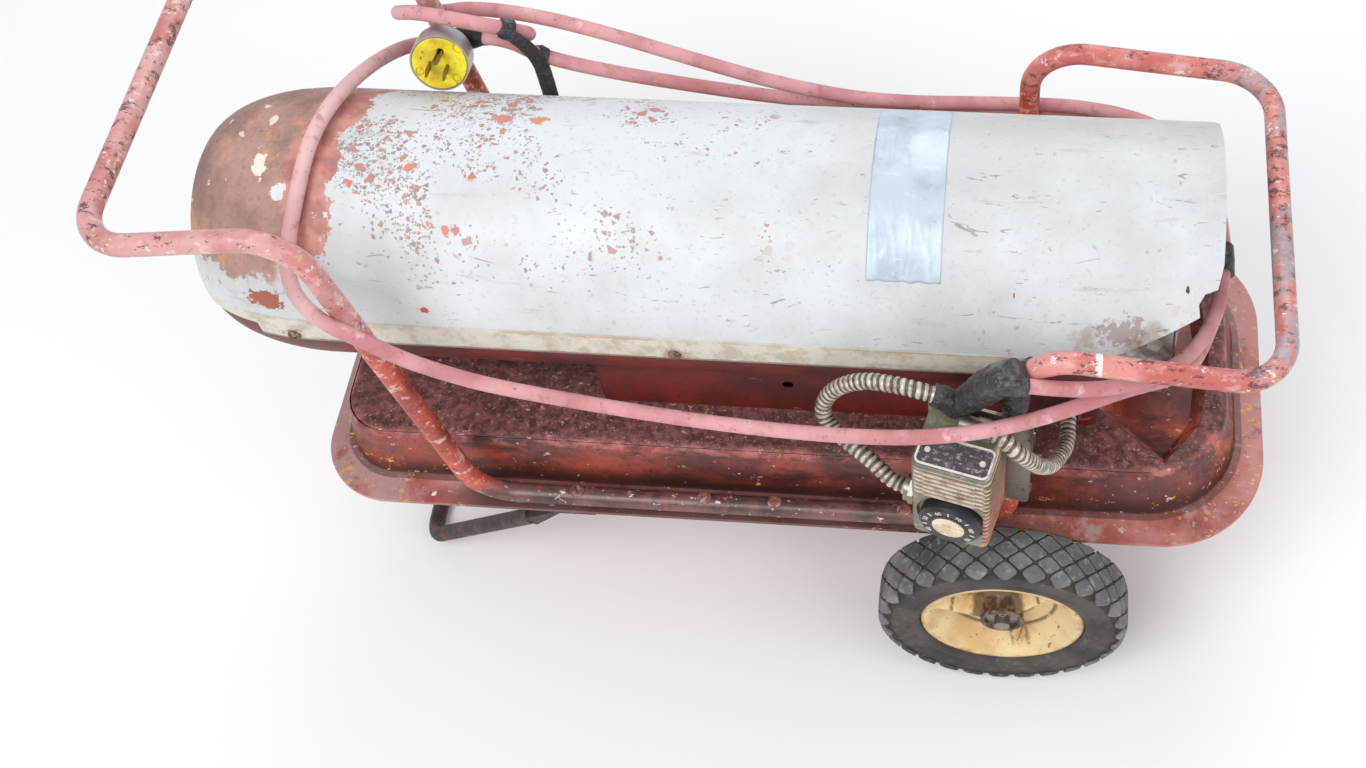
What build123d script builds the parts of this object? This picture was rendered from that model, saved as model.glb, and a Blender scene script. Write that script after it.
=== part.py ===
"""A portable oil-fired forced air heater on two wheels, 1 unit = 1 mm, +Z up.

The outlet nose points to -X, the intake end and the wheels are at +X, and the side with the
thermostat faces -Y. Z = 0 is the floor under the tyres and the front stand.
"""

import math
from pathlib import Path

from build123d import *

Path("parts").mkdir(exist_ok=True)

# ---- Frame and wheels --------------------------------------------------------------------
tube_dia = 15.9  # 5/8 inch tube
tube_wall = 1.5
bend_radius = 38.0
rail_spread = 280.6  # centre to centre of the two side rails
rear_leg_x = 214.5
front_foot_x = -207.4
front_leg_lean = 49.6  # how far the front legs lean to the nose
rear_grip_reach = 182.5
front_grip_reach = 150.9
rear_grip_rise = 239.4  # top of the grips over the tank flange
front_grip_rise = 332.2
grip_drop = 21.0  # both grips fall this much to their ends
wheel_dia = 203.0
tyre_width = 40.8
axle_dia = 12.7
stand_dia = 14.0
stand_width = 190.0
stand_front_x = -302.0
bolt_step = 130.0  # rail bolts from the joint in the rails
joint_bolt_step = 28.0

# ---- Tank --------------------------------------------------------------------------------
tank_mid_x = 36.0
tank_length = 760.0
tank_width = 299.2
axle_room = 8.55  # free height over the axle, up to the tank
sheet = 1.8
front_corner = 60.0
rear_corner = 85.0
front_margin = 18.0  # flange edge to the foot of the wall
rear_margin = 21.0
side_margin = 23.6
tank_rise = 47.0
tank_drop = 55.0
wall_lean = 12.0
ridge_radius = 10.0
well_depth = 13.0

filler_x = -190.0
filler_y = 72.0
neck_r = 18.0
drain_x = -250.0
drain_r = 7.0
fuel_line_x = 170.0
fuel_line_y = 25.0
line_r = 3.0

# ---- Shell -------------------------------------------------------------------------------
shell_dia = 203.8
shell_rise = 168.8  # from the tank flange up to the shell axis
skin = 1.4
shell_rear_x = 351.4
nose_start_x = -304.0
nose_length = 91.7
outlet_dia = 120.0
lower_rear_x = 280.0
seam_half = 12.0
seam_thick = 2.7
fit_gap = 0.3
touch = 0.05

# ---- Works inside ------------------------------------------------------------------------
chamber_dia = 156.0
chamber_front_x = -372.0
chamber_rear_x = 96.0
motor_dia = 92.0
motor_front_x = 262.0
motor_length = 58.0
shaft_dia = 8.0
fan_dia = 178.0
shroud_front_x = 226.0
shroud_rear_x = 322.0

# ---- Thermostat --------------------------------------------------------------------------
thermo_turn = 14.0  # degrees that the clamped box is turned on the leg
box_width = 58.0
box_depth = 49.8
box_height = 96.5
box_rise = 70.0  # from the tank flange up to the box
box_right = 0.0  # box edge past the leg's axis
plate_thick = 2.5
dial_dia = 46.0
dial_height = 8.0
conduit_dia = 12.6

# ---- Cord --------------------------------------------------------------------------------
cord_dia = 11.0

# ---- Sizes that follow -------------------------------------------------------------------
flange_top = wheel_dia / 2 + axle_dia / 2 + axle_room + tank_drop + 2 * sheet
rear_leg_top = flange_top + rear_grip_rise
front_leg_top = flange_top + front_grip_rise
shell_axis = flange_top + shell_rise
box_bottom = flange_top + box_rise
rail_y = rail_spread / 2
rail_z = flange_top + tube_dia / 2 + touch
joint_x = (front_foot_x + rear_leg_x) / 2
front_leg_x = front_foot_x - front_leg_lean
front_grip_x = front_leg_x - front_grip_reach
rear_grip_x = rear_leg_x + rear_grip_reach
tube_bore = tube_dia - 2 * tube_wall
axle_x = rear_leg_x
axle_z = wheel_dia / 2
tank_front_x = tank_mid_x - tank_length / 2
tank_rear_x = tank_mid_x + tank_length / 2
wall_front_x = tank_front_x + front_margin
wall_rear_x = tank_rear_x - rear_margin
wall_y = tank_width / 2 - side_margin
plateau = flange_top + tank_rise
flange_bottom = flange_top - 2 * sheet
tank_bottom = flange_bottom - tank_drop
shell_r = shell_dia / 2
lower_r = shell_r - skin - fit_gap
lower_in_r = lower_r - skin
upper_in_r = shell_r - skin
shroud_r = lower_in_r - fit_gap
tyre_in_y = tank_width / 2 + 4.4
tyre_out_y = tyre_in_y + tyre_width
hub_face_y = tyre_out_y - 3.2
hub_in_y = tyre_in_y + 2.0
saddle_half = 73.0
saddle_front_x = -112.0
saddle_rear_x = lower_rear_x - 2.0


route_rise = flange_top - 175.0  # the cord's and conduits' points were set with the flange 175 up


def raised(points):
    """Points of a route, moved up or down with the tank."""
    return [(x, y, z + route_rise) for x, y, z in points]


def plan(x0, x1, half, r_front, r_rear):
    """A plate outline with small front and large rear corners."""
    with BuildSketch() as outline:
        with Locations(((x0 + x1) / 2, 0)):
            Rectangle(x1 - x0, 2 * half)
        fillet(outline.vertices().sort_by(Axis.X)[:2], r_front)
        fillet(outline.vertices().sort_by(Axis.X)[-2:], r_rear)
    return outline.sketch


def along_x(x):
    """The plane across the shell at x, with its own x along +Y and its own y up."""
    return Plane(origin=(x, 0, shell_axis), x_dir=(0, 1, 0), z_dir=(1, 0, 0))


def side_plane(y):
    """The upright plane at y whose normal is +Y and whose own x runs to -X."""
    return Plane(origin=(0, y, 0), x_dir=(-1, 0, 0), z_dir=(0, 1, 0))


def save(piece, name):
    """Label a finished piece and write it as its own file."""
    piece.part.label = name
    export_step(piece.part, f"parts/{name}.step")
    print(f"{name:20} {piece.part.volume:10.0f} mm3, {len(piece.part.solids())} solids")


def pan_screw(head_r, head_h, shank_r, shank_l, turn):
    """A slotted screw: the head's underside on z = 0, its crown up and its slot turned."""
    with BuildPart() as screw:
        with BuildSketch(Plane.XZ):
            with BuildLine():
                low = head_h * 0.35
                Polyline((0, head_h), (0, -shank_l), (shank_r, -shank_l), (shank_r, 0), (head_r, 0))
                Line((head_r, 0), (head_r, low))
                ThreePointArc((head_r, low), (head_r * 0.64, head_h * 0.84), (0, head_h))
            make_face()
        revolve(axis=Axis.Z)
        with Locations(Location((0, 0, head_h), (0, 0, turn))):
            Box(3 * head_r, head_r * 0.26, head_h * 0.7, mode=Mode.SUBTRACT)
    return screw.part


# ---- Tank, upper half --------------------------------------------------------------------
with BuildPart() as well_cut:
    well_x = saddle_rear_x + 2.0
    well_tip = wall_rear_x - 63.0
    well_half = wall_y - wall_lean - 9.0
    with BuildSketch(Plane.XY.offset(plateau + 1)):
        Polygon(
            (well_tip, -well_half),
            (well_x, 47 - well_half),
            (well_x, well_half - 47),
            (well_tip, well_half),
            (wall_rear_x - 33, 64),
            (wall_rear_x - 26, 0),
            (wall_rear_x - 33, -64),
            align=None,
        )
    with BuildSketch(Plane.XY.offset(plateau - well_depth)):
        Polygon(
            (well_tip + 1, 16 - well_half),
            (well_x + 14, 54 - well_half),
            (well_x + 14, well_half - 54),
            (well_tip + 1, well_half - 16),
            (wall_rear_x - 42, 58),
            (wall_rear_x - 36, 0),
            (wall_rear_x - 42, -58),
            align=None,
        )
    loft(ruled=True)

with BuildPart() as tank_inner:
    add(plan(wall_front_x + sheet, wall_rear_x - sheet, wall_y - sheet, 43, 76)
        .moved(Location((0, 0, flange_top - sheet))))
    add(plan(wall_front_x + 5 + sheet, wall_rear_x - 14 - sheet, wall_y - wall_lean - sheet, 38, 70)
        .moved(Location((0, 0, plateau - sheet))))
    loft(ruled=True)
    add(well_cut.part.moved(Location((sheet, 0, -sheet))), mode=Mode.SUBTRACT)
    add(well_cut.part.moved(Location((-sheet, 0, -sheet))), mode=Mode.SUBTRACT)
    add(well_cut.part.moved(Location((0, sheet, -sheet))), mode=Mode.SUBTRACT)
    add(well_cut.part.moved(Location((0, -sheet, -sheet))), mode=Mode.SUBTRACT)

with BuildPart() as tank_upper:
    add(plan(wall_front_x, wall_rear_x, wall_y, 45, 78).moved(Location((0, 0, flange_top - sheet))))
    add(plan(wall_front_x + 5, wall_rear_x - 14, wall_y - wall_lean, 40, 72)
        .moved(Location((0, 0, plateau))))
    loft(ruled=True)
    fillet(tank_upper.faces().sort_by(Axis.Z)[-1].edges(), ridge_radius)
    add(well_cut.part, mode=Mode.SUBTRACT)
    add(tank_inner.part, mode=Mode.SUBTRACT)
    flange_plan = plan(tank_front_x, tank_rear_x, tank_width / 2, front_corner, rear_corner)
    inner_plan = plan(wall_front_x + sheet, wall_rear_x - sheet, wall_y - sheet, 43, 76)
    bead_plan = plan(wall_front_x - 4, wall_rear_x + 4, wall_y + 4, 49, 82)
    extrude((flange_plan - inner_plan).moved(Location((0, 0, flange_top - sheet))), amount=sheet)
    extrude((bead_plan - inner_plan).moved(Location((0, 0, flange_top))), amount=2.2)
    rail_holes = [
        (joint_x + side * step, across * rail_y)
        for side in (-1, 1)
        for step in (joint_bolt_step, bolt_step)
        for across in (-1, 1)
    ]
    with Locations(*[(x, y, flange_top - sheet / 2) for x, y in rail_holes]):
        Cylinder(3.4, 4 * sheet, mode=Mode.SUBTRACT)
    with Locations((tank_front_x + 97, -tank_width / 2 + 9.0, flange_top - sheet / 2)):
        Cylinder(3.0, 4 * sheet, mode=Mode.SUBTRACT)
    with Locations((filler_x, filler_y, plateau)):
        Cylinder(neck_r + 0.2, 10, mode=Mode.SUBTRACT)
    with Locations((fuel_line_x, fuel_line_y, plateau)):
        Cylinder(line_r + fit_gap, 10, mode=Mode.SUBTRACT)

# ---- Tank, lower half --------------------------------------------------------------------
with BuildPart() as pan_inner:
    add(plan(wall_front_x + 6, wall_rear_x - 10, wall_y - 18, 36, 60)
        .moved(Location((0, 0, flange_bottom + sheet))))
    add(plan(wall_front_x + 16, wall_rear_x - 22, wall_y - 28, 26, 48)
        .moved(Location((0, 0, tank_bottom + sheet))))
    loft(ruled=True)

with BuildPart() as tank_lower:
    add(plan(wall_front_x + 6 - sheet, wall_rear_x - 10 + sheet, wall_y - 18 + sheet, 38, 62)
        .moved(Location((0, 0, flange_bottom + sheet))))
    add(plan(wall_front_x + 16 - sheet, wall_rear_x - 22 + sheet, wall_y - 28 + sheet, 28, 50)
        .moved(Location((0, 0, tank_bottom))))
    loft(ruled=True)
    fillet(tank_lower.faces().sort_by(Axis.Z)[0].edges(), 8)
    add(pan_inner.part, mode=Mode.SUBTRACT)
    pan_plan = plan(wall_front_x + 6, wall_rear_x - 10, wall_y - 18, 36, 60)
    extrude((flange_plan - pan_plan).moved(Location((0, 0, flange_bottom))), amount=sheet)
    with Locations(*[(x, y, flange_bottom + sheet / 2) for x, y in rail_holes]):
        Cylinder(3.4, 4 * sheet, mode=Mode.SUBTRACT)
    with Locations((tank_front_x + 97, -tank_width / 2 + 9.0, flange_bottom + sheet / 2)):
        Cylinder(3.0, 4 * sheet, mode=Mode.SUBTRACT)
    with Locations((drain_x, 0, tank_bottom)):
        Cylinder(drain_r + 0.1, 10, mode=Mode.SUBTRACT)

save(tank_upper, "tank_upper")
save(tank_lower, "tank_lower")

# ---- Front handle and rail, one bent tube -------------------------------------------------
with BuildPart() as front_handle:
    with BuildLine() as front_path:
        FilletPolyline(
            (joint_x - touch, -rail_y, rail_z),
            (front_foot_x, -rail_y, rail_z),
            (front_leg_x, -rail_y, front_leg_top),
            (front_grip_x, -rail_y, front_leg_top - grip_drop),
            (front_grip_x, rail_y, front_leg_top - grip_drop),
            (front_leg_x, rail_y, front_leg_top),
            (front_foot_x, rail_y, rail_z),
            (joint_x - touch, rail_y, rail_z),
            radius=bend_radius,
        )
    with BuildSketch(Plane(origin=(joint_x - touch, -rail_y, rail_z), z_dir=(-1, 0, 0))):
        Circle(tube_dia / 2)
        Circle(tube_bore / 2, mode=Mode.SUBTRACT)
    sweep(path=front_path.wires()[0])
    with Locations(*[(x, y, rail_z) for x, y in rail_holes if x < joint_x]):
        Cylinder(3.3, tube_dia + 4, mode=Mode.SUBTRACT)

save(front_handle, "front_handle")

# ---- Rear handle and rail -----------------------------------------------------------------
with BuildPart() as rear_handle:
    with BuildLine() as rear_path:
        FilletPolyline(
            (joint_x + touch, -rail_y, rail_z),
            (rear_leg_x, -rail_y, rail_z),
            (rear_leg_x, -rail_y, rear_leg_top),
            (rear_grip_x, -rail_y, rear_leg_top - grip_drop),
            (rear_grip_x, rail_y, rear_leg_top - grip_drop),
            (rear_leg_x, rail_y, rear_leg_top),
            (rear_leg_x, rail_y, rail_z),
            (joint_x + touch, rail_y, rail_z),
            radius=bend_radius,
        )
    with BuildSketch(Plane(origin=(joint_x + touch, -rail_y, rail_z), z_dir=(1, 0, 0))):
        Circle(tube_dia / 2)
        Circle(tube_bore / 2, mode=Mode.SUBTRACT)
    sweep(path=rear_path.wires()[0])
    with Locations(*[(x, y, rail_z) for x, y in rail_holes if x > joint_x]):
        Cylinder(3.3, tube_dia + 4, mode=Mode.SUBTRACT)

save(rear_handle, "rear_handle")

# ---- Sleeves that join the two tubes ------------------------------------------------------
with BuildPart() as rail_sleeves:
    with Locations(*[Location((joint_x, y, rail_z), (0, 90, 0)) for y in (-rail_y, rail_y)]):
        Cylinder(tube_bore / 2 - touch, 3.2 * joint_bolt_step)
    with Locations(*[(x, y, rail_z) for x, y in rail_holes if abs(x - joint_x) < 50]):
        Cylinder(3.3, tube_dia + 4, mode=Mode.SUBTRACT)

save(rail_sleeves, "rail_sleeves")

# ---- Slotted bolts and their nuts ---------------------------------------------------------
crown = rail_z + tube_dia / 2 + touch
with BuildPart() as rail_bolts:
    for i, (x, y) in enumerate(rail_holes):
        shank = crown - flange_bottom + 11
        add(pan_screw(5.6, 3.2, 3.0, shank, 15 + 49 * i).moved(Location((x, y, crown))))

tab_thick = 4.2
nut_tops = [flange_bottom - (tab_thick if x < joint_x - 100 else 0) for x, y in rail_holes]
with BuildPart() as rail_nuts:
    for (x, y), top in zip(rail_holes, nut_tops):
        with BuildSketch(Plane.XY.offset(top - touch)):
            with Locations((x, y)):
                RegularPolygon(5.6, 6)
                Circle(3.0 + touch, mode=Mode.SUBTRACT)
        extrude(amount=-5)

save(rail_bolts, "rail_bolts")
save(rail_nuts, "rail_nuts")

# ---- Front stand: one bent tube, its ends pressed flat ------------------------------------
stand_foot_z = stand_dia / 2
stand_end = Vector(joint_x - bolt_step - 48, -rail_y + 4, flange_bottom - 34)
stand_corner = Vector(stand_front_x, -stand_width / 2, stand_foot_z)
with BuildPart() as front_stand:
    with BuildLine() as stand_path:
        FilletPolyline(
            stand_end,
            stand_corner,
            Vector(stand_corner.X, -stand_corner.Y, stand_corner.Z),
            Vector(stand_end.X, -stand_end.Y, stand_end.Z),
            radius=22,
        )
    with BuildSketch(Plane(origin=stand_end, z_dir=stand_corner - stand_end)):
        Circle(stand_dia / 2)
    sweep(path=stand_path.wires()[0])
    for side in (-1, 1):
        end = Vector(stand_end.X, side * -stand_end.Y, stand_end.Z)
        lean = Vector(
            stand_end.X - stand_corner.X,
            side * (stand_corner.Y - stand_end.Y),
            stand_end.Z - stand_corner.Z,
        )
        with BuildSketch(Plane(origin=end, x_dir=(0, 1, 0), z_dir=lean)):
            Rectangle(stand_dia * 0.86, stand_dia * 0.86)
        tab_mid = flange_bottom - touch - tab_thick / 2
        with BuildSketch(
            Plane(origin=(joint_x - bolt_step - 17, side * rail_y, tab_mid), x_dir=(0, 1, 0), z_dir=(1, 0, 0))
        ):
            Rectangle(16, tab_thick)
        loft(ruled=True)
        with Locations((joint_x - bolt_step - 3, side * rail_y, tab_mid)):
            Box(30, 16, tab_thick)
        with Locations((joint_x - bolt_step, side * rail_y, tab_mid)):
            Cylinder(3.3, 3 * tab_thick, mode=Mode.SUBTRACT)

save(front_stand, "front_stand")

# ---- Axle, its brackets, spacers, washers and cotter pins ----------------------------------
barrel_face = hub_face_y - 2.0
washer_in = barrel_face - 6.0 + touch
cotter_y = washer_in + 2.0 + 1.8
axle_end = cotter_y + 6.5
bracket_y = 84.0
bracket_thick = 3.0
with BuildPart() as axle:
    with Locations(Location((axle_x, 0, axle_z), (90, 0, 0))):
        Cylinder(axle_dia / 2, 2 * axle_end)
    chamfer(axle.edges().group_by(Axis.Y)[0], 1)
    chamfer(axle.edges().group_by(Axis.Y)[-1], 1)
    with Locations((axle_x, -cotter_y, axle_z), (axle_x, cotter_y, axle_z)):
        Cylinder(1.4, axle_dia + 4, mode=Mode.SUBTRACT)

with BuildPart() as axle_brackets:
    for side in (-1, 1):
        with BuildSketch(side_plane(side * bracket_y)):
            with Locations((-axle_x, (tank_bottom + axle_z) / 2 - 5)):
                Rectangle(44, tank_bottom - axle_z + 10)
            with Locations((-axle_x, axle_z)):
                Circle(14)
                Circle(axle_dia / 2 + touch, mode=Mode.SUBTRACT)
        extrude(amount=side * bracket_thick)
        with Locations((axle_x, side * (bracket_y - 12), tank_bottom - bracket_thick / 2)):
            Box(44, 30, bracket_thick)
    with Locations(*[(axle_x + dx, s * (bracket_y - 16), tank_bottom - 1.5) for dx in (-14, 14) for s in (-1, 1)]):
        Cylinder(2.6, 8, mode=Mode.SUBTRACT)

with BuildPart() as axle_spacers:
    for side in (-1, 1):
        near_y = bracket_y + bracket_thick + touch
        far_y = hub_in_y - fit_gap
        with Locations(Location((axle_x, side * (near_y + far_y) / 2, axle_z), (90, 0, 0))):
            Cylinder(9.5, far_y - near_y)
            Cylinder(axle_dia / 2 + touch, far_y - near_y + 2, mode=Mode.SUBTRACT)

with BuildPart() as axle_washers:
    for side in (-1, 1):
        with Locations(Location((axle_x, side * (washer_in + 1), axle_z), (90, 0, 0))):
            Cylinder(12.8, 2)
            Cylinder(axle_dia / 2 + touch, 4, mode=Mode.SUBTRACT)

with BuildPart() as cotter_pins:
    for side in (-1, 1):
        with Locations((axle_x, side * cotter_y, axle_z - 1.5)):
            Cylinder(1.25, axle_dia + 7)
        with Locations(Location((axle_x, side * cotter_y, axle_z + axle_dia / 2 + 3.6), (90, 0, 0))):
            Torus(2.4, 1.0)

save(axle, "axle")
save(axle_brackets, "axle_brackets")
save(axle_spacers, "axle_spacers")
save(axle_washers, "axle_washers")
save(cotter_pins, "cotter_pins")

# ---- Wheels: dished hub with three ribs, and the tyre on its rim ---------------------------
rim_r = 66.0
seat_r = 62.0
barrel_r = 17.5


def hub_section(side):
    """Half the hub's section: own x is the radius, own y the distance from the middle plane."""
    bore = axle_dia / 2 + touch
    dish = hub_in_y + 15.0
    points = [
        (bore, hub_in_y),
        (barrel_r, hub_in_y),
        (barrel_r, dish - 2),
        (seat_r - 4, dish + 2),
        (seat_r - 3, hub_in_y),
        (rim_r, hub_in_y),
        (rim_r, hub_in_y + 2.5),
        (seat_r, hub_in_y + 5),
        (seat_r, hub_face_y - 5),
        (rim_r, hub_face_y - 2.5),
        (rim_r, hub_face_y),
        (seat_r - 1.5, hub_face_y),
        (seat_r - 3.5, hub_face_y - 4),
        (seat_r - 5, dish + 6),
        (barrel_r + 10, dish + 1),
        (barrel_r, dish + 3),
        (barrel_r, barrel_face),
        (14.0, barrel_face),
        (14.0, barrel_face - 6),
        (bore, barrel_face - 6),
    ]
    with BuildSketch(Plane(origin=(axle_x, 0, axle_z), x_dir=(1, 0, 0), z_dir=(0, 0, 1))) as section:
        Polygon(*[(r, side * w) for r, w in points], align=None)
    return section.sketch


def rib_blank(side, turn):
    """One raised rib from the barrel to the rim, running out along the turned radius."""
    slant = math.radians(turn)
    out = Vector(math.cos(slant), 0, math.sin(slant))
    with BuildPart() as rib:
        with BuildSketch(Plane(origin=(axle_x, 0, axle_z), x_dir=out, z_dir=out.cross(Vector(0, -1, 0)))):
            Polygon(
                (barrel_r - 1, -side * (barrel_face - 4)),
                (seat_r - 3, -side * (hub_in_y + 24)),
                (seat_r - 3, -side * (hub_in_y + 16)),
                (barrel_r - 1, -side * (hub_in_y + 14)),
                align=None,
            )
        extrude(amount=3.2, both=True)
    return rib.part


def tyre_section(side):
    """Half the tyre's section, with a square shoulder and a low crown."""
    mid = (tyre_in_y + tyre_out_y) / 2
    half = tyre_width / 2
    outer = wheel_dia / 2
    points = [
        (seat_r + 0.2, mid - half + 8),
        (rim_r + 0.3, mid - half + 5),
        (rim_r + 0.3, mid - half + 2),
        (rim_r + 6, mid - half + 0.6),
        (outer - 22, mid - half),
        (outer - 7, mid - half + 1.2),
        (outer - 1.2, mid - half + 4),
        (outer, mid - half + 9),
        (outer, mid + half - 9),
        (outer - 1.2, mid + half - 4),
        (outer - 7, mid + half - 1.2),
        (outer - 22, mid + half),
        (rim_r + 6, mid + half - 0.6),
        (rim_r + 0.3, mid + half - 2),
        (rim_r + 0.3, mid + half - 6.5),
        (seat_r + 0.2, mid + half - 9.5),
    ]
    with BuildSketch(Plane(origin=(axle_x, 0, axle_z), x_dir=(1, 0, 0), z_dir=(0, 0, 1))) as section:
        Polygon(*[(r, side * w) for r, w in points], align=None)
    return section.sketch


wheel_axis = Axis((axle_x, 0, axle_z), (0, 1, 0))
with BuildPart() as hub_near:
    add(hub_section(-1))
    revolve(axis=wheel_axis)
    for turn in (80, 200, 320):
        add(rib_blank(-1, turn))

with BuildPart() as hub_far:
    add(hub_section(1))
    revolve(axis=wheel_axis)
    for turn in (80, 200, 320):
        add(rib_blank(1, turn))

with BuildPart() as tyre_near:
    add(tyre_section(-1))
    revolve(axis=wheel_axis)

with BuildPart() as tyre_far:
    add(tyre_section(1))
    revolve(axis=wheel_axis)

save(hub_near, "hub_near")
save(hub_far, "hub_far")
save(tyre_near, "tyre_near")
save(tyre_far, "tyre_far")

# ---- Saddle that carries the shell on the tank ---------------------------------------------
saddle_sheet = 1.5
saddle_base = plateau + touch
conduit_out_x = 256.5
conduit_out_z = plateau + 24.0
with BuildPart() as saddle:
    mid = (saddle_front_x + saddle_rear_x) / 2
    length = saddle_rear_x - saddle_front_x
    with Locations((mid, 0, saddle_base)):
        Box(length, 2 * saddle_half, 80, align=(Align.CENTER, Align.CENTER, Align.MIN))
    fillet(saddle.edges().filter_by(Axis.Z), 6)
    with BuildSketch(Plane.XY.offset(saddle_base)):
        with Locations((mid, 0)):
            RectangleRounded(length - 2 * saddle_sheet, 2 * (saddle_half - saddle_sheet), 4.5)
    extrude(amount=80, mode=Mode.SUBTRACT)
    with BuildSketch(Plane.XY.offset(saddle_base)):
        with Locations((mid, 0)):
            RectangleRounded(length - 2 * saddle_sheet, 2 * (saddle_half - saddle_sheet), 4.5)
            RectangleRounded(length - 26, 2 * saddle_half - 26, 3, mode=Mode.SUBTRACT)
    extrude(amount=saddle_sheet)
    with Locations(Location((mid, 0, shell_axis), (0, 90, 0))):
        Cylinder(lower_r + fit_gap, length + 20, mode=Mode.SUBTRACT)
    with Locations(Location((39.8, -saddle_half, plateau + 36), (90, 0, 0))):
        Cylinder(4.5, 10, mode=Mode.SUBTRACT)
    with Locations(Location((conduit_out_x, -saddle_half, conduit_out_z), (90, 0, 0))):
        Cylinder(8.2, 10, mode=Mode.SUBTRACT)
save(saddle, "saddle")

# ---- Ignition transformer inside the saddle -------------------------------------------------
coil_x = -50.0
coil_y = 38.0
coil_length = 78.0
coil_width = 38.0
post_height = 3.0
post_spread = 44.0
coil_room = 3.3  # from the box up to the lower shell
shell_over_coil = shell_axis - math.sqrt(lower_r**2 - (coil_y - coil_width / 2) ** 2)
coil_height = shell_over_coil - coil_room - saddle_base
with BuildPart() as ignition_box:
    with Locations((coil_x, coil_y, saddle_base)):
        Box(coil_length, coil_width, coil_height, align=(Align.CENTER, Align.CENTER, Align.MIN))
    fillet(ignition_box.edges().filter_by(Axis.Z), 3)
    post_foot = saddle_base + coil_height
    with Locations(*[(coil_x + side * post_spread / 2, coil_y, post_foot) for side in (-1, 1)]):
        Cylinder(4, post_height, align=(Align.CENTER, Align.CENTER, Align.MIN))
save(ignition_box, "ignition_box")

# ---- Shell: a lower and an upper half with a drawn nose -------------------------------------
lip_r = outlet_dia / 2
below = Axis((0, 0, shell_axis), (1, 0, 0))
above = Axis((0, 0, shell_axis), (-1, 0, 0))


def shell_section(outer, thick, reach, rear_x):
    """The wall's section on the near side: own x along +X, own y the radius towards -Y."""
    near_half = Plane(origin=(0, 0, shell_axis), x_dir=(1, 0, 0), z_dir=(0, 0, -1))
    with BuildSketch(near_half) as section:
        with BuildLine():
            centre = (nose_start_x, lip_r)
            outside = EllipticalCenterArc(centre, reach, outer - lip_r, 90, arc_size=90)
            inside = EllipticalCenterArc(
                centre, reach - thick, outer - thick - lip_r, 90, arc_size=90
            )
            Line(outside @ 1, inside @ 1)
            Polyline(outside @ 0, (rear_x, outer), (rear_x, outer - thick), inside @ 0)
        make_face()
    return section.sketch


with BuildPart() as lower_shell:
    add(shell_section(lower_r, skin, nose_length - skin - fit_gap, lower_rear_x))
    revolve(axis=below, revolution_arc=180)
    with Locations((fuel_line_x, fuel_line_y, shell_axis - lower_r)):
        Cylinder(line_r + 1, 20, mode=Mode.SUBTRACT)
    seam_screws = [(x, side) for side in (-1, 1) for x in (-318.0, -33.0, 205.0)]
    screw_z = shell_axis - 5.0
    with Locations(*[Location((x, side * shell_r, screw_z), (90, 0, 0)) for x, side in seam_screws]):
        Cylinder(2.2, 30, mode=Mode.SUBTRACT)
save(lower_shell, "lower_shell")

seam_out = shell_r + seam_thick - skin
with BuildPart() as seam_strip:
    add(shell_section(seam_out, seam_thick, nose_length + seam_thick - skin, shell_rear_x))
    revolve(axis=Axis((0, 0, shell_axis), (1, 0, 0)))
    with Locations(((shell_rear_x - 345) / 2, 0, shell_axis)):
        Box(shell_rear_x + 345, 3 * shell_r, 2 * seam_half, mode=Mode.INTERSECT)

with BuildPart() as upper_shell:
    add(shell_section(shell_r, skin, nose_length, shell_rear_x))
    revolve(axis=above, revolution_arc=180)
    add(seam_strip.part)
    with BuildSketch(Plane.XZ):
        with BuildLine():
            low_z = shell_axis - seam_half - 0.8
            low = Line((235.6, low_z), (279.6, low_z + 28))
            slope = Line(low @ 1, (338, low_z + 64))
            notch = Polyline(
                (338, low_z + 64),
                (336.5, low_z + 72),
                (340, low_z + 78),
                (348.4, low_z + 80.7),
                (shell_rear_x + 0.1, low_z + 93),
            )
            Polyline(notch @ 1, (shell_rear_x + 9, low_z + 93), (shell_rear_x + 9, low_z), low @ 0)
        make_face()
    extrude(amount=2 * shell_r, both=True, mode=Mode.SUBTRACT)
    with Locations(*[Location((x, side * shell_r, screw_z), (90, 0, 0)) for x, side in seam_screws]):
        Cylinder(2.2, 30, mode=Mode.SUBTRACT)
save(upper_shell, "upper_shell")

with BuildPart() as shell_screws:
    for i, (x, side) in enumerate(seam_screws):
        nose_dip = 0 if x > nose_start_x else (nose_start_x - x) * 0.012
        face_y = side * (seam_out + touch - nose_dip)
        outward = Plane(origin=(x, face_y, screw_z), x_dir=(1, 0, 0), z_dir=(0, side, 0))
        add(pan_screw(4.8, 3.0, 2.1, 7.0, 20 + 37 * i).moved(outward.location))
save(shell_screws, "shell_screws")

# ---- Duct tape stuck over the top of the shell ----------------------------------------------
tape_front_x = 107.0
duct_tape_width = 52.0
tape_lift = 0.2
tape_thick = 0.3
with BuildPart() as duct_tape:
    with BuildSketch(along_x(tape_front_x)):
        Circle(shell_r + tape_lift + tape_thick)
        Circle(shell_r + tape_lift, mode=Mode.SUBTRACT)
    extrude(amount=duct_tape_width)
    with BuildSketch(along_x(tape_front_x - 5)):
        with BuildLine():
            Polyline(
                (0, 0),
                (-200 * math.cos(math.radians(39)), 200 * math.sin(math.radians(39))),
                (-200, 300),
                (200, 300),
                (200 * math.cos(math.radians(50)), 200 * math.sin(math.radians(50))),
                (0, 0),
            )
        make_face()
    extrude(amount=duct_tape_width + 10, mode=Mode.INTERSECT)
save(duct_tape, "duct_tape")

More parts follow.
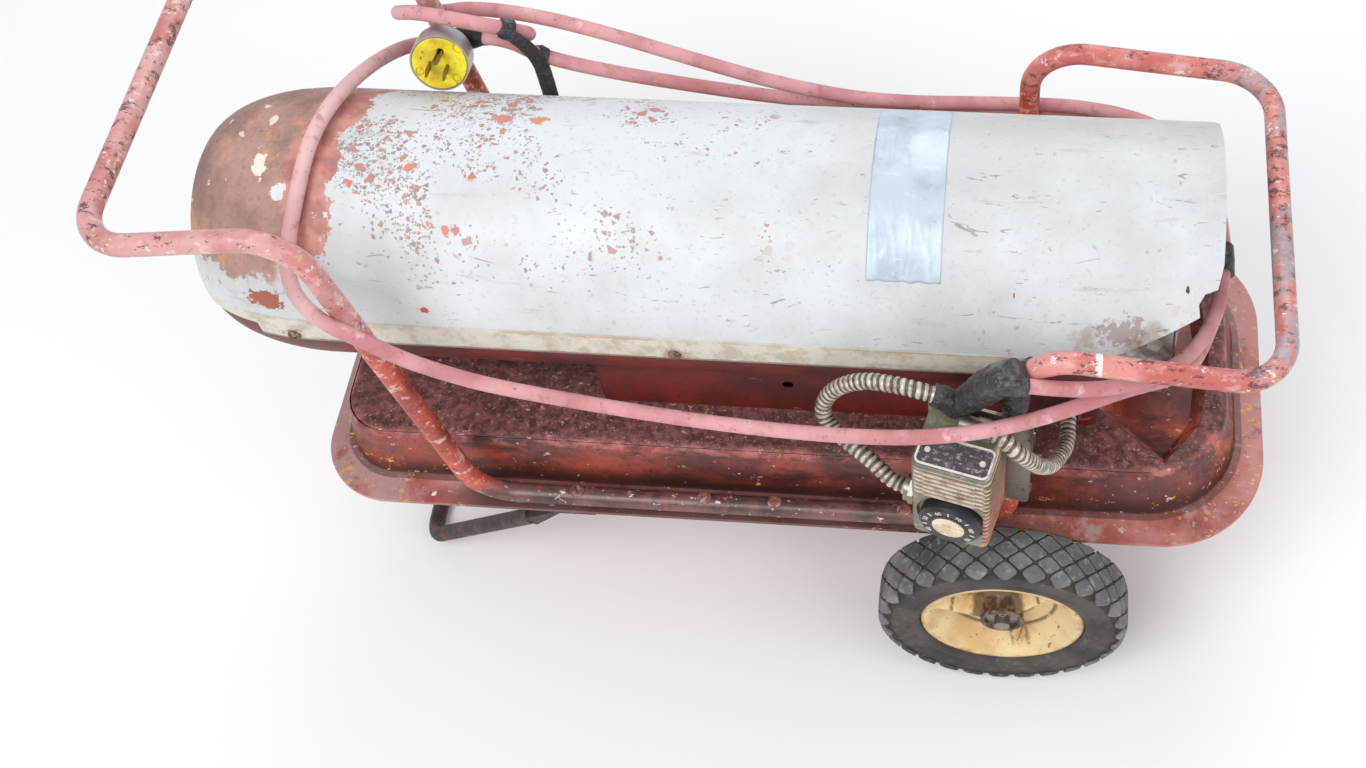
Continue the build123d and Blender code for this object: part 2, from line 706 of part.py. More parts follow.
# ---- Combustion chamber and its straps ------------------------------------------------------
chamber_r = chamber_dia / 2
chamber_wall = 1.0
head_x = chamber_rear_x + 25.0
throat_r = 45.0
upper_half = Plane(origin=(0, 0, shell_axis), x_dir=(1, 0, 0), z_dir=(0, -1, 0))
with BuildPart() as combustion_chamber:
    with BuildSketch(upper_half):
        Polygon(
            (chamber_front_x, chamber_r),
            (chamber_rear_x, chamber_r),
            (head_x, throat_r),
            (head_x, throat_r - chamber_wall),
            (chamber_rear_x, chamber_r - chamber_wall),
            (chamber_front_x, chamber_r - chamber_wall),
            align=None,
        )
    revolve(axis=below)
save(combustion_chamber, "combustion_chamber")

with BuildPart() as chamber_straps:
    for turn in (90, 225, 315):
        seat = (upper_in_r if turn == 90 else lower_in_r) - 0.2
        top = math.sqrt(seat**2 - 64)
        foot = chamber_r + touch
        slant = math.radians(turn)
        out = Vector(0, math.cos(slant), math.sin(slant))
        for x in (-300.0, 40.0):
            with BuildSketch(
                Plane(origin=(x, 0, shell_axis), x_dir=out.cross(Vector(1, 0, 0)), z_dir=(1, 0, 0))
            ):
                Polygon(
                    (-12, foot), (0, foot), (0, top - 1.5), (8, top - 1.5), (8, top), (-1.5, top),
                    (-1.5, foot + 1.5), (-12, foot + 1.5),
                    align=None,
                )
            extrude(amount=20)
save(chamber_straps, "chamber_straps")

# ---- Burner head, nozzle and electrodes -----------------------------------------------------
with BuildPart() as burner_head:
    with BuildSketch(along_x(head_x + touch)):
        Circle(throat_r + 2)
        Circle(9.1, mode=Mode.SUBTRACT)
        with PolarLocations(28, 12):
            Circle(4.2, mode=Mode.SUBTRACT)
        with Locations((-15, 0), (15, 0)):
            Circle(3.1, mode=Mode.SUBTRACT)
    extrude(amount=2)
save(burner_head, "burner_head")

nozzle_front = head_x - 7.0
nozzle_back = head_x + 24.0
with BuildPart() as nozzle:
    with BuildSketch(along_x(nozzle_front)):
        Circle(9.0)
    extrude(amount=nozzle_back - nozzle_front - 12)
    chamfer(nozzle.edges().group_by(Axis.X)[0], 3)
    with BuildSketch(along_x(nozzle_back - 12)):
        RegularPolygon(11, 6)
    extrude(amount=12)
    with BuildSketch(along_x(nozzle_front)):
        Circle(1.2)
    extrude(amount=10, mode=Mode.SUBTRACT)
save(nozzle, "nozzle")

with BuildPart() as electrodes:
    for side in (-15, 15):
        with Locations(Location((head_x + 4, side, shell_axis), (0, 90, 0))):
            Cylinder(3.0, 34)
        with Locations(Location((head_x - 18, side, shell_axis), (0, 90, 0))):
            Cylinder(1.2, 12)
save(electrodes, "electrodes")

# ---- Fan, shaft and motor -------------------------------------------------------------------
shaft_end_x = motor_front_x + motor_length + 2.0
fan_x = shroud_front_x + 19.0
with BuildPart() as motor_shaft:
    with BuildSketch(along_x(fan_x - 16)):
        Circle(shaft_dia / 2)
    extrude(amount=shaft_end_x - fan_x + 16)
save(motor_shaft, "motor_shaft")

with BuildPart() as fan:
    with BuildSketch(along_x(fan_x - 12)):
        Circle(16)
    extrude(amount=24)
    fillet(fan.edges().group_by(Axis.X)[0], 3)
    for turn in range(0, 360, 72):
        slant = math.radians(turn)
        out = Vector(0, math.cos(slant), math.sin(slant))
        flow = Vector(1, 0, 0)
        around = out.cross(flow)
        for radius, width, pitch in ((14.0, 26.0, 48.0), (fan_dia / 2, 58.0, 24.0)):
            lean = math.radians(pitch)
            along = around * math.cos(lean) + flow * math.sin(lean)
            with BuildSketch(
                Plane(origin=Vector(fan_x, 0, shell_axis) + out * radius, x_dir=along, z_dir=out)
            ):
                Rectangle(width, 1.4)
        loft(ruled=True)
    with BuildSketch(along_x(fan_x - 40)):
        Circle(fan_dia / 2)
    extrude(amount=80, mode=Mode.INTERSECT)
    with BuildSketch(along_x(fan_x - 40)):
        Circle(shaft_dia / 2 + touch)
    extrude(amount=80, mode=Mode.SUBTRACT)
save(fan, "fan")

with BuildPart() as motor:
    with BuildSketch(along_x(motor_front_x)):
        Circle(motor_dia / 2)
    extrude(amount=motor_length)
    fillet(motor.edges(), 6)
    with BuildSketch(along_x(motor_front_x - 4)):
        Circle(13)
    extrude(amount=motor_length + 4)
    with BuildSketch(along_x(motor_front_x - 20)):
        Circle(shaft_dia / 2 + touch)
    extrude(amount=motor_length + 40, mode=Mode.SUBTRACT)
save(motor, "motor")

# ---- Shroud round the fan, with the motor's mount -------------------------------------------
shroud_in = shroud_r - 1.5
with BuildPart() as fan_shroud:
    with BuildSketch(along_x(shroud_front_x)):
        Circle(shroud_r)
        Circle(shroud_in, mode=Mode.SUBTRACT)
    extrude(amount=shroud_rear_x - shroud_front_x)
    for step in range(6):
        slant = math.radians(188 + 7.5 * step)
        out = Vector(0, math.cos(slant), math.sin(slant))
        with BuildSketch(Plane(origin=Vector(0, 0, shell_axis) + out * (shroud_in - 5), x_dir=(1, 0, 0), z_dir=out)):
            with Locations((shroud_rear_x - 22.4, 0), (shroud_rear_x - 8, 0)):
                SlotOverall(9, 3.2)
        extrude(amount=10, mode=Mode.SUBTRACT)
save(fan_shroud, "fan_shroud")

mount_x = motor_front_x + 16.0
with BuildPart() as motor_mount:
    with BuildSketch(along_x(mount_x)):
        Circle(motor_dia / 2 + 2.5)
        Circle(motor_dia / 2 + touch, mode=Mode.SUBTRACT)
    extrude(amount=26)
    for turn in (45, 135, 225, 315):
        slant = math.radians(turn)
        out = Vector(0, math.cos(slant), math.sin(slant))
        foot_r = math.sqrt((shroud_in - 0.2) ** 2 - 81)
        with BuildSketch(
            Plane(origin=(mount_x, 0, shell_axis), x_dir=out.cross(Vector(1, 0, 0)), z_dir=(1, 0, 0))
        ):
            with Locations((0, (motor_dia / 2 + 1 + foot_r) / 2)):
                Rectangle(2.4, foot_r - motor_dia / 2 - 1)
            with Locations((0, foot_r - 1)):
                Rectangle(18, 2)
        extrude(amount=26)
save(motor_mount, "motor_mount")

# ---- Air pump on the motor's back, its filter cover and the two lines to the nozzle ---------
pump_x = shaft_end_x + touch
with BuildPart() as air_pump:
    with BuildSketch(along_x(pump_x)):
        Circle(33)
    extrude(amount=18)
    with BuildSketch(along_x(pump_x)):
        with PolarLocations(29, 6):
            Circle(6)
    extrude(amount=18)
    with BuildSketch(Plane(origin=(pump_x + 9, 0, shell_axis), z_dir=(0, 0, -1))):
        Circle(5)
    extrude(amount=41)
save(air_pump, "air_pump")

with BuildPart() as filter_cover:
    with BuildSketch(along_x(pump_x + 18 + touch)):
        Circle(31)
    extrude(amount=6)
    fillet(filter_cover.edges().group_by(Axis.X)[-1], 3)
    with BuildSketch(along_x(pump_x + 20)):
        with PolarLocations(17, 8):
            Circle(3)
    extrude(amount=10, mode=Mode.SUBTRACT)
save(filter_cover, "filter_cover")

# ---- Guard on the intake end of the shroud -------------------------------------------------
guard_x = shroud_rear_x + 1.6
guard_wire = 1.25
guard_rings = (38.0, 53.0, 68.0, 83.0, shroud_in + 0.6)
with BuildPart() as fan_guard:
    for radius in guard_rings:
        with Locations(Location((guard_x, 0, shell_axis), (0, 90, 0))):
            Torus(radius, guard_wire)
    for spoke in range(8):
        slant = math.radians(45 * spoke + 22.5)
        out = Vector(0, math.cos(slant), math.sin(slant))
        hub_end = Vector(guard_x + 0.9, 0, shell_axis) + out * guard_rings[0]
        with BuildSketch(Plane(origin=hub_end, z_dir=out)):
            Circle(guard_wire)
        extrude(amount=guard_rings[-1] - guard_rings[0])
save(fan_guard, "fan_guard")

# ---- Fuel line and air line to the nozzle ---------------------------------------------------
nozzle_inlet_y = 5.0
with BuildPart() as fuel_line:
    with BuildLine() as fuel_path:
        FilletPolyline(
            (fuel_line_x, fuel_line_y, plateau - 40),
            (fuel_line_x, fuel_line_y, shell_axis),
            (fuel_line_x, nozzle_inlet_y, shell_axis),
            (nozzle_back + touch, nozzle_inlet_y, shell_axis),
            radius=9.5,
        )
    with BuildSketch(Plane(origin=fuel_path.line @ 0, z_dir=fuel_path.line % 0)):
        Circle(line_r)
    sweep()
save(fuel_line, "fuel_line")

air_r = shroud_in - 3.9
with BuildPart() as air_line:
    with BuildLine() as air_path:
        FilletPolyline(
            (pump_x + 9, 0, shell_axis - 41 - touch),
            (pump_x + 9, 0, shell_axis - air_r),
            (head_x + 34, 0, shell_axis - air_r),
            (head_x + 34, 0, shell_axis - 6),
            (nozzle_back + touch, 0, shell_axis - 6),
            radius=5.9,
        )
    with BuildSketch(Plane(origin=air_path.line @ 0, z_dir=air_path.line % 0)):
        Circle(2.4)
    sweep()
save(air_line, "air_line")

# ---- Filler neck, its cap and the drain plug ------------------------------------------------
with BuildPart() as filler_neck:
    with BuildSketch(Plane(origin=(filler_x, filler_y, 0), x_dir=(1, 0, 0), z_dir=(0, -1, 0))):
        Polygon(
            (neck_r - 1.5, plateau - 12), (neck_r, plateau - 12), (neck_r, plateau + touch),
            (neck_r + 8, plateau + touch), (neck_r + 8, plateau + 1.2), (neck_r, plateau + 1.2),
            (neck_r, plateau + 16), (neck_r - 1.5, plateau + 16),
            align=None,
        )
    revolve(axis=Axis((filler_x, filler_y, 0), (0, 0, 1)))
save(filler_neck, "filler_neck")

cap_base = plateau + 5.0
with BuildPart() as fuel_cap:
    with BuildSketch(Plane(origin=(filler_x, filler_y, 0), x_dir=(1, 0, 0), z_dir=(0, -1, 0))):
        Polygon(
            (0, plateau + 16 + fit_gap), (neck_r + 0.3, plateau + 16 + fit_gap), (neck_r + 0.3, cap_base),
            (neck_r + 5, cap_base), (neck_r + 6, cap_base + 3), (neck_r + 6, cap_base + 13),
            (neck_r + 4, cap_base + 16), (0, cap_base + 17),
            align=None,
        )
    revolve(axis=Axis((filler_x, filler_y, 0), (0, 0, 1)))
    for turn in range(0, 360, 30):
        slant = math.radians(turn)
        with Locations(
            (filler_x + (neck_r + 7.4) * math.cos(slant), filler_y + (neck_r + 7.4) * math.sin(slant), cap_base + 8)
        ):
            Cylinder(3, 20, mode=Mode.SUBTRACT)
save(fuel_cap, "fuel_cap")

with BuildPart() as drain_plug:
    with BuildSketch(Plane.XY.offset(tank_bottom - touch)):
        with Locations((drain_x, 0)):
            RegularPolygon(11, 6)
    extrude(amount=-7)
    with Locations((drain_x, 0, tank_bottom - touch)):
        Cylinder(drain_r, 8, align=(Align.CENTER, Align.CENTER, Align.MIN))
save(drain_plug, "drain_plug")

# ---- Thermostat clamped to the near rear leg ------------------------------------------------
turned = math.radians(thermo_turn)
clamp_right = Vector(math.cos(turned), -math.sin(turned), 0)
clamp_back = Vector(math.sin(turned), math.cos(turned), 0)
clamp_origin = Vector(rear_leg_x, -rail_y, 0)


def clamp_level(z):
    """Level plane at z, own x to the box's right and own y to its back, from the leg's axis."""
    return Plane(origin=clamp_origin + Vector(0, 0, z), x_dir=clamp_right, z_dir=(0, 0, 1))


def clamp_face(back):
    """Upright plane facing the user, own x to the right and own y up, moved back by a length."""
    return Plane(origin=clamp_origin + clamp_back * back, x_dir=clamp_right, z_dir=-clamp_back)


plate_front = -(tube_dia / 2 + touch)
box_back = plate_front - plate_thick - touch
box_front = box_back - box_depth
box_left = box_right - box_width
box_mid = (box_left + box_right) / 2
box_top = box_bottom + box_height
strap_heights = (box_bottom + 13.0, box_top - 12.0)
ear = 13.2
with BuildPart() as thermo_plate:
    with BuildSketch(clamp_face(plate_front)):
        with Locations(((box_left - 2 + 17) / 2, (box_bottom + box_top) / 2 + 2)):
            RectangleRounded(17 - box_left + 2, box_height + 16, 5)
        with Locations(*[(u, z) for u in (-ear, ear) for z in strap_heights]):
            Circle(2.2, mode=Mode.SUBTRACT)
        with Locations((box_left + 3, box_top + 5)):
            Circle(2.4, mode=Mode.SUBTRACT)
    extrude(amount=plate_thick)
save(thermo_plate, "thermo_plate")

dial_u = -27.0
dial_z = box_bottom + 34.0
with BuildPart() as thermo_box:
    with BuildSketch(clamp_level(box_bottom)):
        with Locations((box_mid, (box_back + box_front) / 2)):
            RectangleRounded(box_width, box_depth, 6)
    extrude(amount=box_height)
    fillet(thermo_box.edges().group_by(Axis.Z)[-1], 2)
    fillet(thermo_box.edges().group_by(Axis.Z)[0], 2)
    with BuildSketch(clamp_face(box_front - 1)):
        with Locations((dial_u, dial_z)):
            Circle(dial_dia / 2 + 3.5)
        with Locations((dial_u, dial_z + dial_dia / 2 + 14.5)):
            Rectangle(36, 27, mode=Mode.SUBTRACT)
    extrude(amount=-4, mode=Mode.SUBTRACT)
    with BuildSketch(clamp_face(box_front - 0.8)):
        with Locations(*[(dial_u - 2, 304.5 + 5.6 * i) for i in range(6)]):
            Rectangle(38, 2.6)
    extrude(amount=-2)
    for i in range(15):
        with BuildSketch(clamp_level(box_bottom + 8 + 5.6 * i)):
            with Locations((box_right - 4, (box_back + box_front) / 2 - 3)):
                RectangleRounded(9.4, box_depth - 6 + 1.4, 3.5)
            with Locations((box_right - 13.5, (box_back + box_front) / 2)):
                Rectangle(20, box_depth + 20, mode=Mode.SUBTRACT)
        extrude(amount=2.2)
    with BuildSketch(clamp_face(box_front)):
        with Locations((dial_u, dial_z)):
            Circle(3.1)
    extrude(amount=-16, mode=Mode.SUBTRACT)
save(thermo_box, "thermo_box")

dial_seat = box_front + 3.0
with BuildPart() as thermo_dial:
    with BuildSketch(clamp_face(dial_seat - fit_gap)):
        with Locations((dial_u, dial_z)):
            Circle(dial_dia / 2)
    extrude(amount=dial_height + 2.7)
    dial_rim = thermo_dial.edges().filter_by(GeomType.CIRCLE).sort_by(Axis.Y)[0]
    chamfer(dial_rim, 2.4)
    with BuildSketch(clamp_face(dial_seat - fit_gap - dial_height - 2.7)):
        with Locations((dial_u, dial_z)):
            Circle(14.5)
    extrude(amount=0.4)
    with BuildSketch(clamp_face(dial_seat - fit_gap)):
        with Locations((dial_u, dial_z)):
            Circle(3.0)
    extrude(amount=-9)
save(thermo_dial, "thermo_dial")

badge_depth = 25.0
with BuildPart() as thermo_badge:
    badge_v = box_front + 1.5 + badge_depth / 2
    with BuildSketch(clamp_level(box_top + touch)):
        with Locations((box_mid, badge_v)):
            RectangleRounded(box_width - 4, badge_depth, 5)
    extrude(amount=0.9)
    with BuildSketch(clamp_level(box_top + touch)):
        with Locations((box_mid, badge_v)):
            RectangleRounded(box_width - 4, badge_depth, 5)
            RectangleRounded(box_width - 7, badge_depth - 3, 3.8, mode=Mode.SUBTRACT)
    extrude(amount=1.7)
    with BuildSketch(clamp_level(box_top)):
        with Locations((box_mid - 20, badge_v), (box_mid + 20, badge_v)):
            Circle(1.4)
    extrude(amount=3, mode=Mode.SUBTRACT)
save(thermo_badge, "thermo_badge")

with BuildPart() as badge_rivets:
    for u in (box_mid - 20, box_mid + 20):
        with BuildSketch(clamp_level(box_top + touch)):
            with Locations((u, badge_v)):
                Circle(1.35)
        extrude(amount=1.0)
        with BuildSketch(clamp_level(box_top + 1.0)):
            with Locations((u, badge_v)):
                Circle(2.3)
        extrude(amount=1.1, taper=20)
save(badge_rivets, "badge_rivets")

with BuildPart() as thermo_straps:
    loop_in = tube_dia / 2 + touch
    for z in strap_heights:
        with BuildSketch(clamp_level(z - 6)):
            with Locations((0, 0)):
                Circle(loop_in + 1.5)
            with Locations((0, plate_front / 2)):
                Rectangle(2 * loop_in + 3, -plate_front)
            with Locations((0, 0)):
                Circle(loop_in, mode=Mode.SUBTRACT)
            with Locations((0, plate_front / 2 - 1)):
                Rectangle(2 * loop_in, -plate_front + 2, mode=Mode.SUBTRACT)
            with Locations((-ear, plate_front + touch + 0.75), (ear, plate_front + touch + 0.75)):
                Rectangle(2 * (ear - loop_in) - 1, 1.5)
        extrude(amount=12)
        with BuildSketch(clamp_face(plate_front + 4)):
            with Locations((-ear, z), (ear, z)):
                Circle(2.2)
        extrude(amount=6, mode=Mode.SUBTRACT)
save(thermo_straps, "thermo_straps")

with BuildPart() as strap_screws:
    for u in (-ear, ear):
        for z in strap_heights:
            seat = clamp_origin + clamp_back * (plate_front + 1.5 + 2 * touch) + clamp_right * u
            facing = Plane(origin=seat + Vector(0, 0, z), x_dir=clamp_right, z_dir=clamp_back)
            add(pan_screw(3.6, 2.2, 2.1, 3.9, z + u).moved(facing.location))
save(strap_screws, "strap_screws")

# ---- Two ribbed conduits and their fittings --------------------------------------------------
rib_pitch = 5.4
rib_height = 1.0
conduit_bore = 8.0


def ribbed(points, steady):
    """A ribbed hose along a smooth line through the points, its circles turned by a steady direction."""
    crest = conduit_dia / 2
    with BuildPart() as hose:
        with BuildLine() as route:
            Spline(*points)
        line = route.wire()
        ribs = round(line.length / rib_pitch)
        for rib in range(ribs):
            for share, radius in ((0, crest - rib_height), (0.3, crest), (0.62, crest), (0.84, crest - rib_height)):
                along = (rib + share) / ribs * line.length
                at = line.position_at(along, PositionMode.LENGTH)
                ahead = line.tangent_at(along, PositionMode.LENGTH)
                with BuildSketch(Plane(origin=at, x_dir=steady, z_dir=ahead)):
                    Circle(radius)
        with BuildSketch(Plane(origin=line @ 1, x_dir=steady, z_dir=line % 1)):
            Circle(crest - rib_height)
        loft(ruled=True)
        for rib in range(ribs + 1):
            along = rib / ribs * line.length
            at = line.position_at(along, PositionMode.LENGTH)
            ahead = line.tangent_at(along, PositionMode.LENGTH)
            with BuildSketch(Plane(origin=at, x_dir=steady, z_dir=ahead)):
                Circle(conduit_bore / 2)
        loft(ruled=True, mode=Mode.SUBTRACT)
    print("ribs", ribs, "length", round(line.length))
    return hose


def clamp_point(u, v, z):
    """A point given from the leg's axis, as the box's own right, back and height."""
    return clamp_origin + clamp_right * u + clamp_back * v + Vector(0, 0, z)


entry_z = box_bottom + 28.0
entry_v = box_front + 18.0
fitting_v = box_back - 13.5
conduit_top = box_top + 8.6
hose_room = conduit_dia / 2 + 0.8
conduit_in_points = [
    *raised([
        (165, -145.5, 366), (150, -143.5, 370), (133, -139, 369), (107, -129, 358), (85, -123, 336),
        (74, -123, 311), (79, -129, 295), (95, -141, 291), (114, -153, 286),
    ]),
    clamp_point(box_left - 23, entry_v + 1, entry_z + 4), clamp_point(box_left - 12, entry_v, entry_z),
    clamp_point(box_left - 1.6, entry_v, entry_z),
]
conduit_out_points = [
    clamp_point(box_right - 14, fitting_v, conduit_top),
    clamp_point(box_right - 3, fitting_v - 1, conduit_top - 0.5),
    *raised([
        (217, -171, 341), (226.5, -167, 324), (235, -158, 300), (243, -145, 279), (250, -128, 264),
    ]),
    (conduit_out_x - 0.5, -110, conduit_out_z + 7),
    (conduit_out_x, -93, conduit_out_z + 1.5),
    (conduit_out_x, -saddle_half - 2, conduit_out_z),
]
conduit_in = ribbed(conduit_in_points, (0, 1, 0))
save(conduit_in, "conduit_in")
conduit_out = ribbed(conduit_out_points, (0.5, 0.4, 0.77))
save(conduit_out, "conduit_out")

with BuildPart() as conduit_fittings:
    entry = Plane(origin=clamp_point(box_left - touch, entry_v, entry_z), x_dir=(0, 0, 1), z_dir=-clamp_right)
    with BuildSketch(entry):
        Circle(10)
        Circle(hose_room, mode=Mode.SUBTRACT)
    extrude(amount=9)
    with BuildSketch(entry.offset(1.5)):
        RegularPolygon(11.5, 6)
        Circle(hose_room, mode=Mode.SUBTRACT)
    extrude(amount=4)
    elbow_u = box_right - 25
    with BuildSketch(clamp_level(box_top + touch)):
        with Locations((elbow_u, fitting_v)):
            Circle(7.8)
    extrude(amount=5)
    body_end = Plane(origin=clamp_point(elbow_u - 7, fitting_v, conduit_top), x_dir=(0, 0, 1), z_dir=clamp_right)
    with BuildSketch(body_end):
        Circle(7.4)
    extrude(amount=16)
    with BuildSketch(body_end.offset(12)):
        Circle(8.4)
        Circle(hose_room, mode=Mode.SUBTRACT)
    extrude(amount=12)
    wall_entry = Plane(origin=(conduit_out_x, -saddle_half - touch, conduit_out_z), z_dir=(0, -1, 0))
    with BuildSketch(wall_entry):
        RegularPolygon(12, 6)
        Circle(hose_room, mode=Mode.SUBTRACT)
    extrude(amount=4)
    with BuildSketch(wall_entry):
        Circle(9.4)
        Circle(hose_room + 0.4, mode=Mode.SUBTRACT)
    extrude(amount=8)
save(conduit_fittings, "conduit_fittings")

# ---- Power cord -------------------------------------------------------------------------------
cord_points = raised([
    (210, -156, 404), (239, -153, 396), (272, -142, 381), (306, -125, 369), (334, -96, 357), (352, -66, 353),
    (362, -24, 351), (363, 29, 350), (351, 92, 349), (314, 132, 345), (262, 151, 340), (206, 155.5, 336),
    (95, 148, 339), (18, 141, 363), (-49, 134, 396), (-114, 130, 426), (-167, 135, 436), (-219, 148, 428),
    (-245, 156, 414), (-268, 151, 418), (-271, 135, 433), (-263, 120, 448), (-242, 110, 459), (-207, 96, 467),
    (-159, 104, 448), (-178, 147, 402), (-216, 151, 391), (-255, 157, 381), (-273, 138, 395), (-281, 104, 416),
    (-285, 62, 438), (-288, 21, 454), (-293, -16, 455), (-297, -48, 441), (-302, -78, 422), (-295, -110, 416),
    (-273, -137, 426), (-248, -156, 432), (-227, -159, 421), (-206, -160, 403), (-183, -158, 385),
    (-154, -154, 364), (-87, -150, 340), (-16, -151, 327), (57, -157, 328), (123, -170, 348), (172, -178, 369),
    (215, -168, 371), (256, -145, 361), (294, -122, 354), (336, -101, 343), (352, -61, 340), (364, -20, 338),
    (365, 36, 338), (352, 92, 337), (314, 130, 333), (262, 149, 327.5), (206, 155.5, 323), (94, 158, 324),
    (16, 144, 344), (-53, 133, 367), (-118, 120, 394), (-163, 113, 416), (-177, 107, 437), (-197, 108, 438),
])


def bend_radii(points):
    """For each inner point an arc that takes 0.45 of the shorter of its two runs."""
    radii = []
    for before, corner, after in zip(points, points[1:], points[2:]):
        run_in = Vector(*corner) - Vector(*before)
        run_out = Vector(*after) - Vector(*corner)
        turn = math.radians(run_in.get_angle(run_out))
        radii.append(0.45 * min(run_in.length, run_out.length) / math.tan(turn / 2))
    return radii


with BuildPart() as cord:
    cord_radii = bend_radii(cord_points)
    with BuildLine() as cord_path:
        FilletPolyline(*cord_points, radius=cord_radii)
    cord_line = cord_path.wire()
    with BuildSketch(Plane(origin=cord_line @ 0, z_dir=cord_line % 0)):
        Circle(cord_dia / 2)
    sweep()
print("cord radii", [round(radius) for radius in cord_radii])
cord_section = math.pi * (cord_dia / 2) ** 2
print("cord length", round(cord_line.length), "volume over section", cord.part.volume / cord_section)
save(cord, "cord")

cord_hole = cord_dia / 2 + fit_gap
with BuildPart() as cord_room:
    with BuildSketch(Plane(origin=cord_line @ 0, z_dir=cord_line % 0)):
        Circle(cord_hole)
    sweep(path=cord_line)

with BuildPart() as cord_sleeve:
    with Locations(Location((362.2, -4, 350.7 + route_rise), (90, 0, 0))):
        Cylinder(cord_hole + 1.7, 24)
    add(cord_room.part, mode=Mode.SUBTRACT)
save(cord_sleeve, "cord_sleeve")

# ---- Tape over the joint of cord and conduit, wound round the rear elbow -----------------------
elbow_turn = math.pi / 2 + math.atan(grip_drop / rear_grip_reach)
elbow_z = rear_leg_top - bend_radius * math.tan(elbow_turn / 2)
elbow_centre = Vector(rear_leg_x + bend_radius, -rail_y, elbow_z)
cord_start = Vector(*cord_points[0])
cord_ahead = (Vector(*cord_points[1]) - cord_start).normalized()
hose_start = Vector(*conduit_in_points[0])
with BuildLine() as hose_route:
    Spline(*conduit_in_points)
hose_ahead = hose_route.wire() % 0
with BuildPart() as splice_tape:
    lump = raised([
        (215, -149, 413), (207, -150, 404), (195, -150, 390), (185, -149, 375), (178, -147, 364), (172, -145, 354)
    ])
    for at, after, radius in zip(lump, lump[1:], (8, 12, 12.5, 11, 9)):
        with BuildSketch(Plane(origin=at, x_dir=(0, 1, 0), z_dir=Vector(*after) - Vector(*at))):
            Circle(radius)
    loft()
    with BuildSketch(Plane(origin=hose_start - hose_ahead * touch, z_dir=-hose_ahead)):
        Circle(9)
    extrude(amount=12)
    with Locations(lump[4]):
        Sphere(8.8)
    with BuildSketch(Plane(origin=cord_start - cord_ahead * 6, z_dir=cord_ahead)):
        Circle(9.5)
    extrude(amount=11, taper=12)
    with BuildSketch(Plane(origin=elbow_centre, x_dir=(1, 0, 0), z_dir=(0, 0, 1))):
        with Locations((-bend_radius, 0)):
            Circle(tube_dia / 2 + 2.2)
    revolve(axis=Axis(elbow_centre, (0, 1, 0)), revolution_arc=40)
    with BuildSketch(Plane.XY.offset(elbow_centre.Z - 16)):
        with Locations((rear_leg_x, -rail_y)):
            Circle(tube_dia / 2 + 2.2)
    extrude(amount=16)
    with BuildSketch(Plane.XY.offset(elbow_centre.Z - 40)):
        with Locations((rear_leg_x, -rail_y)):
            Circle(tube_dia / 2 + touch)
    extrude(amount=40, mode=Mode.SUBTRACT)
    with BuildSketch(Plane(origin=elbow_centre, x_dir=(1, 0, 0), z_dir=(0, 0, 1))):
        with Locations((-bend_radius, 0)):
            Circle(tube_dia / 2 + touch)
    revolve(axis=Axis(elbow_centre, (0, 1, 0)), revolution_arc=90, mode=Mode.SUBTRACT)
    add(cord_room.part, mode=Mode.SUBTRACT)
    with BuildSketch(Plane(origin=hose_start - hose_ahead * fit_gap, z_dir=hose_ahead)):
        Circle(hose_room)
    extrude(amount=20, mode=Mode.SUBTRACT)
save(splice_tape, "splice_tape")

# ---- Tape that ties two strands together, its end hanging down -----------------------------------
upper_grip = Vector(-174.5, 101.6, 453.6 + route_rise)
upper_ahead = Vector(0.83, 0.27, -0.48)
lower_grip = Vector(-159, 113.6, 414 + route_rise)
lower_ahead = Vector(-0.89, -0.14, 0.43)
tape_width = 9.5
with BuildPart() as tape_tie:
    for grip, ahead in ((upper_grip, upper_ahead), (lower_grip, lower_ahead)):
        with BuildSketch(Plane(origin=grip - ahead.normalized() * tape_width / 2, z_dir=ahead)):
            Circle(cord_hole + 1.7)
        extrude(amount=tape_width)
    tape_route = raised([
        (-176, 96, 458), (-169, 98, 449), (-163, 103.5, 433), (-159, 106.5, 417), (-157.5, 107.5, 401), (-158, 108, 352)
    ])
    for at, before, after in zip(tape_route, tape_route[:1] + tape_route, tape_route[1:] + tape_route[-1:]):
        along = Vector(*after) - Vector(*before)
        with BuildSketch(Plane(origin=at, x_dir=(0.97, 0.25, 0), z_dir=along)):
            Rectangle(tape_width, 2.6)
    loft(ruled=True)
    add(cord_room.part, mode=Mode.SUBTRACT)
save(tape_tie, "tape_tie")

# ---- Plug: gland, tapered cover, metal sleeve, yellow face and blades -----------------------------
plug_face_centre = Vector(-222.1, 74, 443.3 + route_rise)
plug_ahead = Vector(0.1154, -0.9173, 0.3810).normalized()
plug_right = Vector(-0.972, -0.025, 0.235)
plug_face_r = 20.2
plug_sleeve_r = 21.8
plug_length = 44.0
plug_tail_r = 11.0
blade_gap = 12.7


def plug_plane(back):
    """Plane across the plug, looking out of its face, moved back from the face."""
    return Plane(origin=plug_face_centre - plug_ahead * back, x_dir=plug_right, z_dir=plug_ahead)


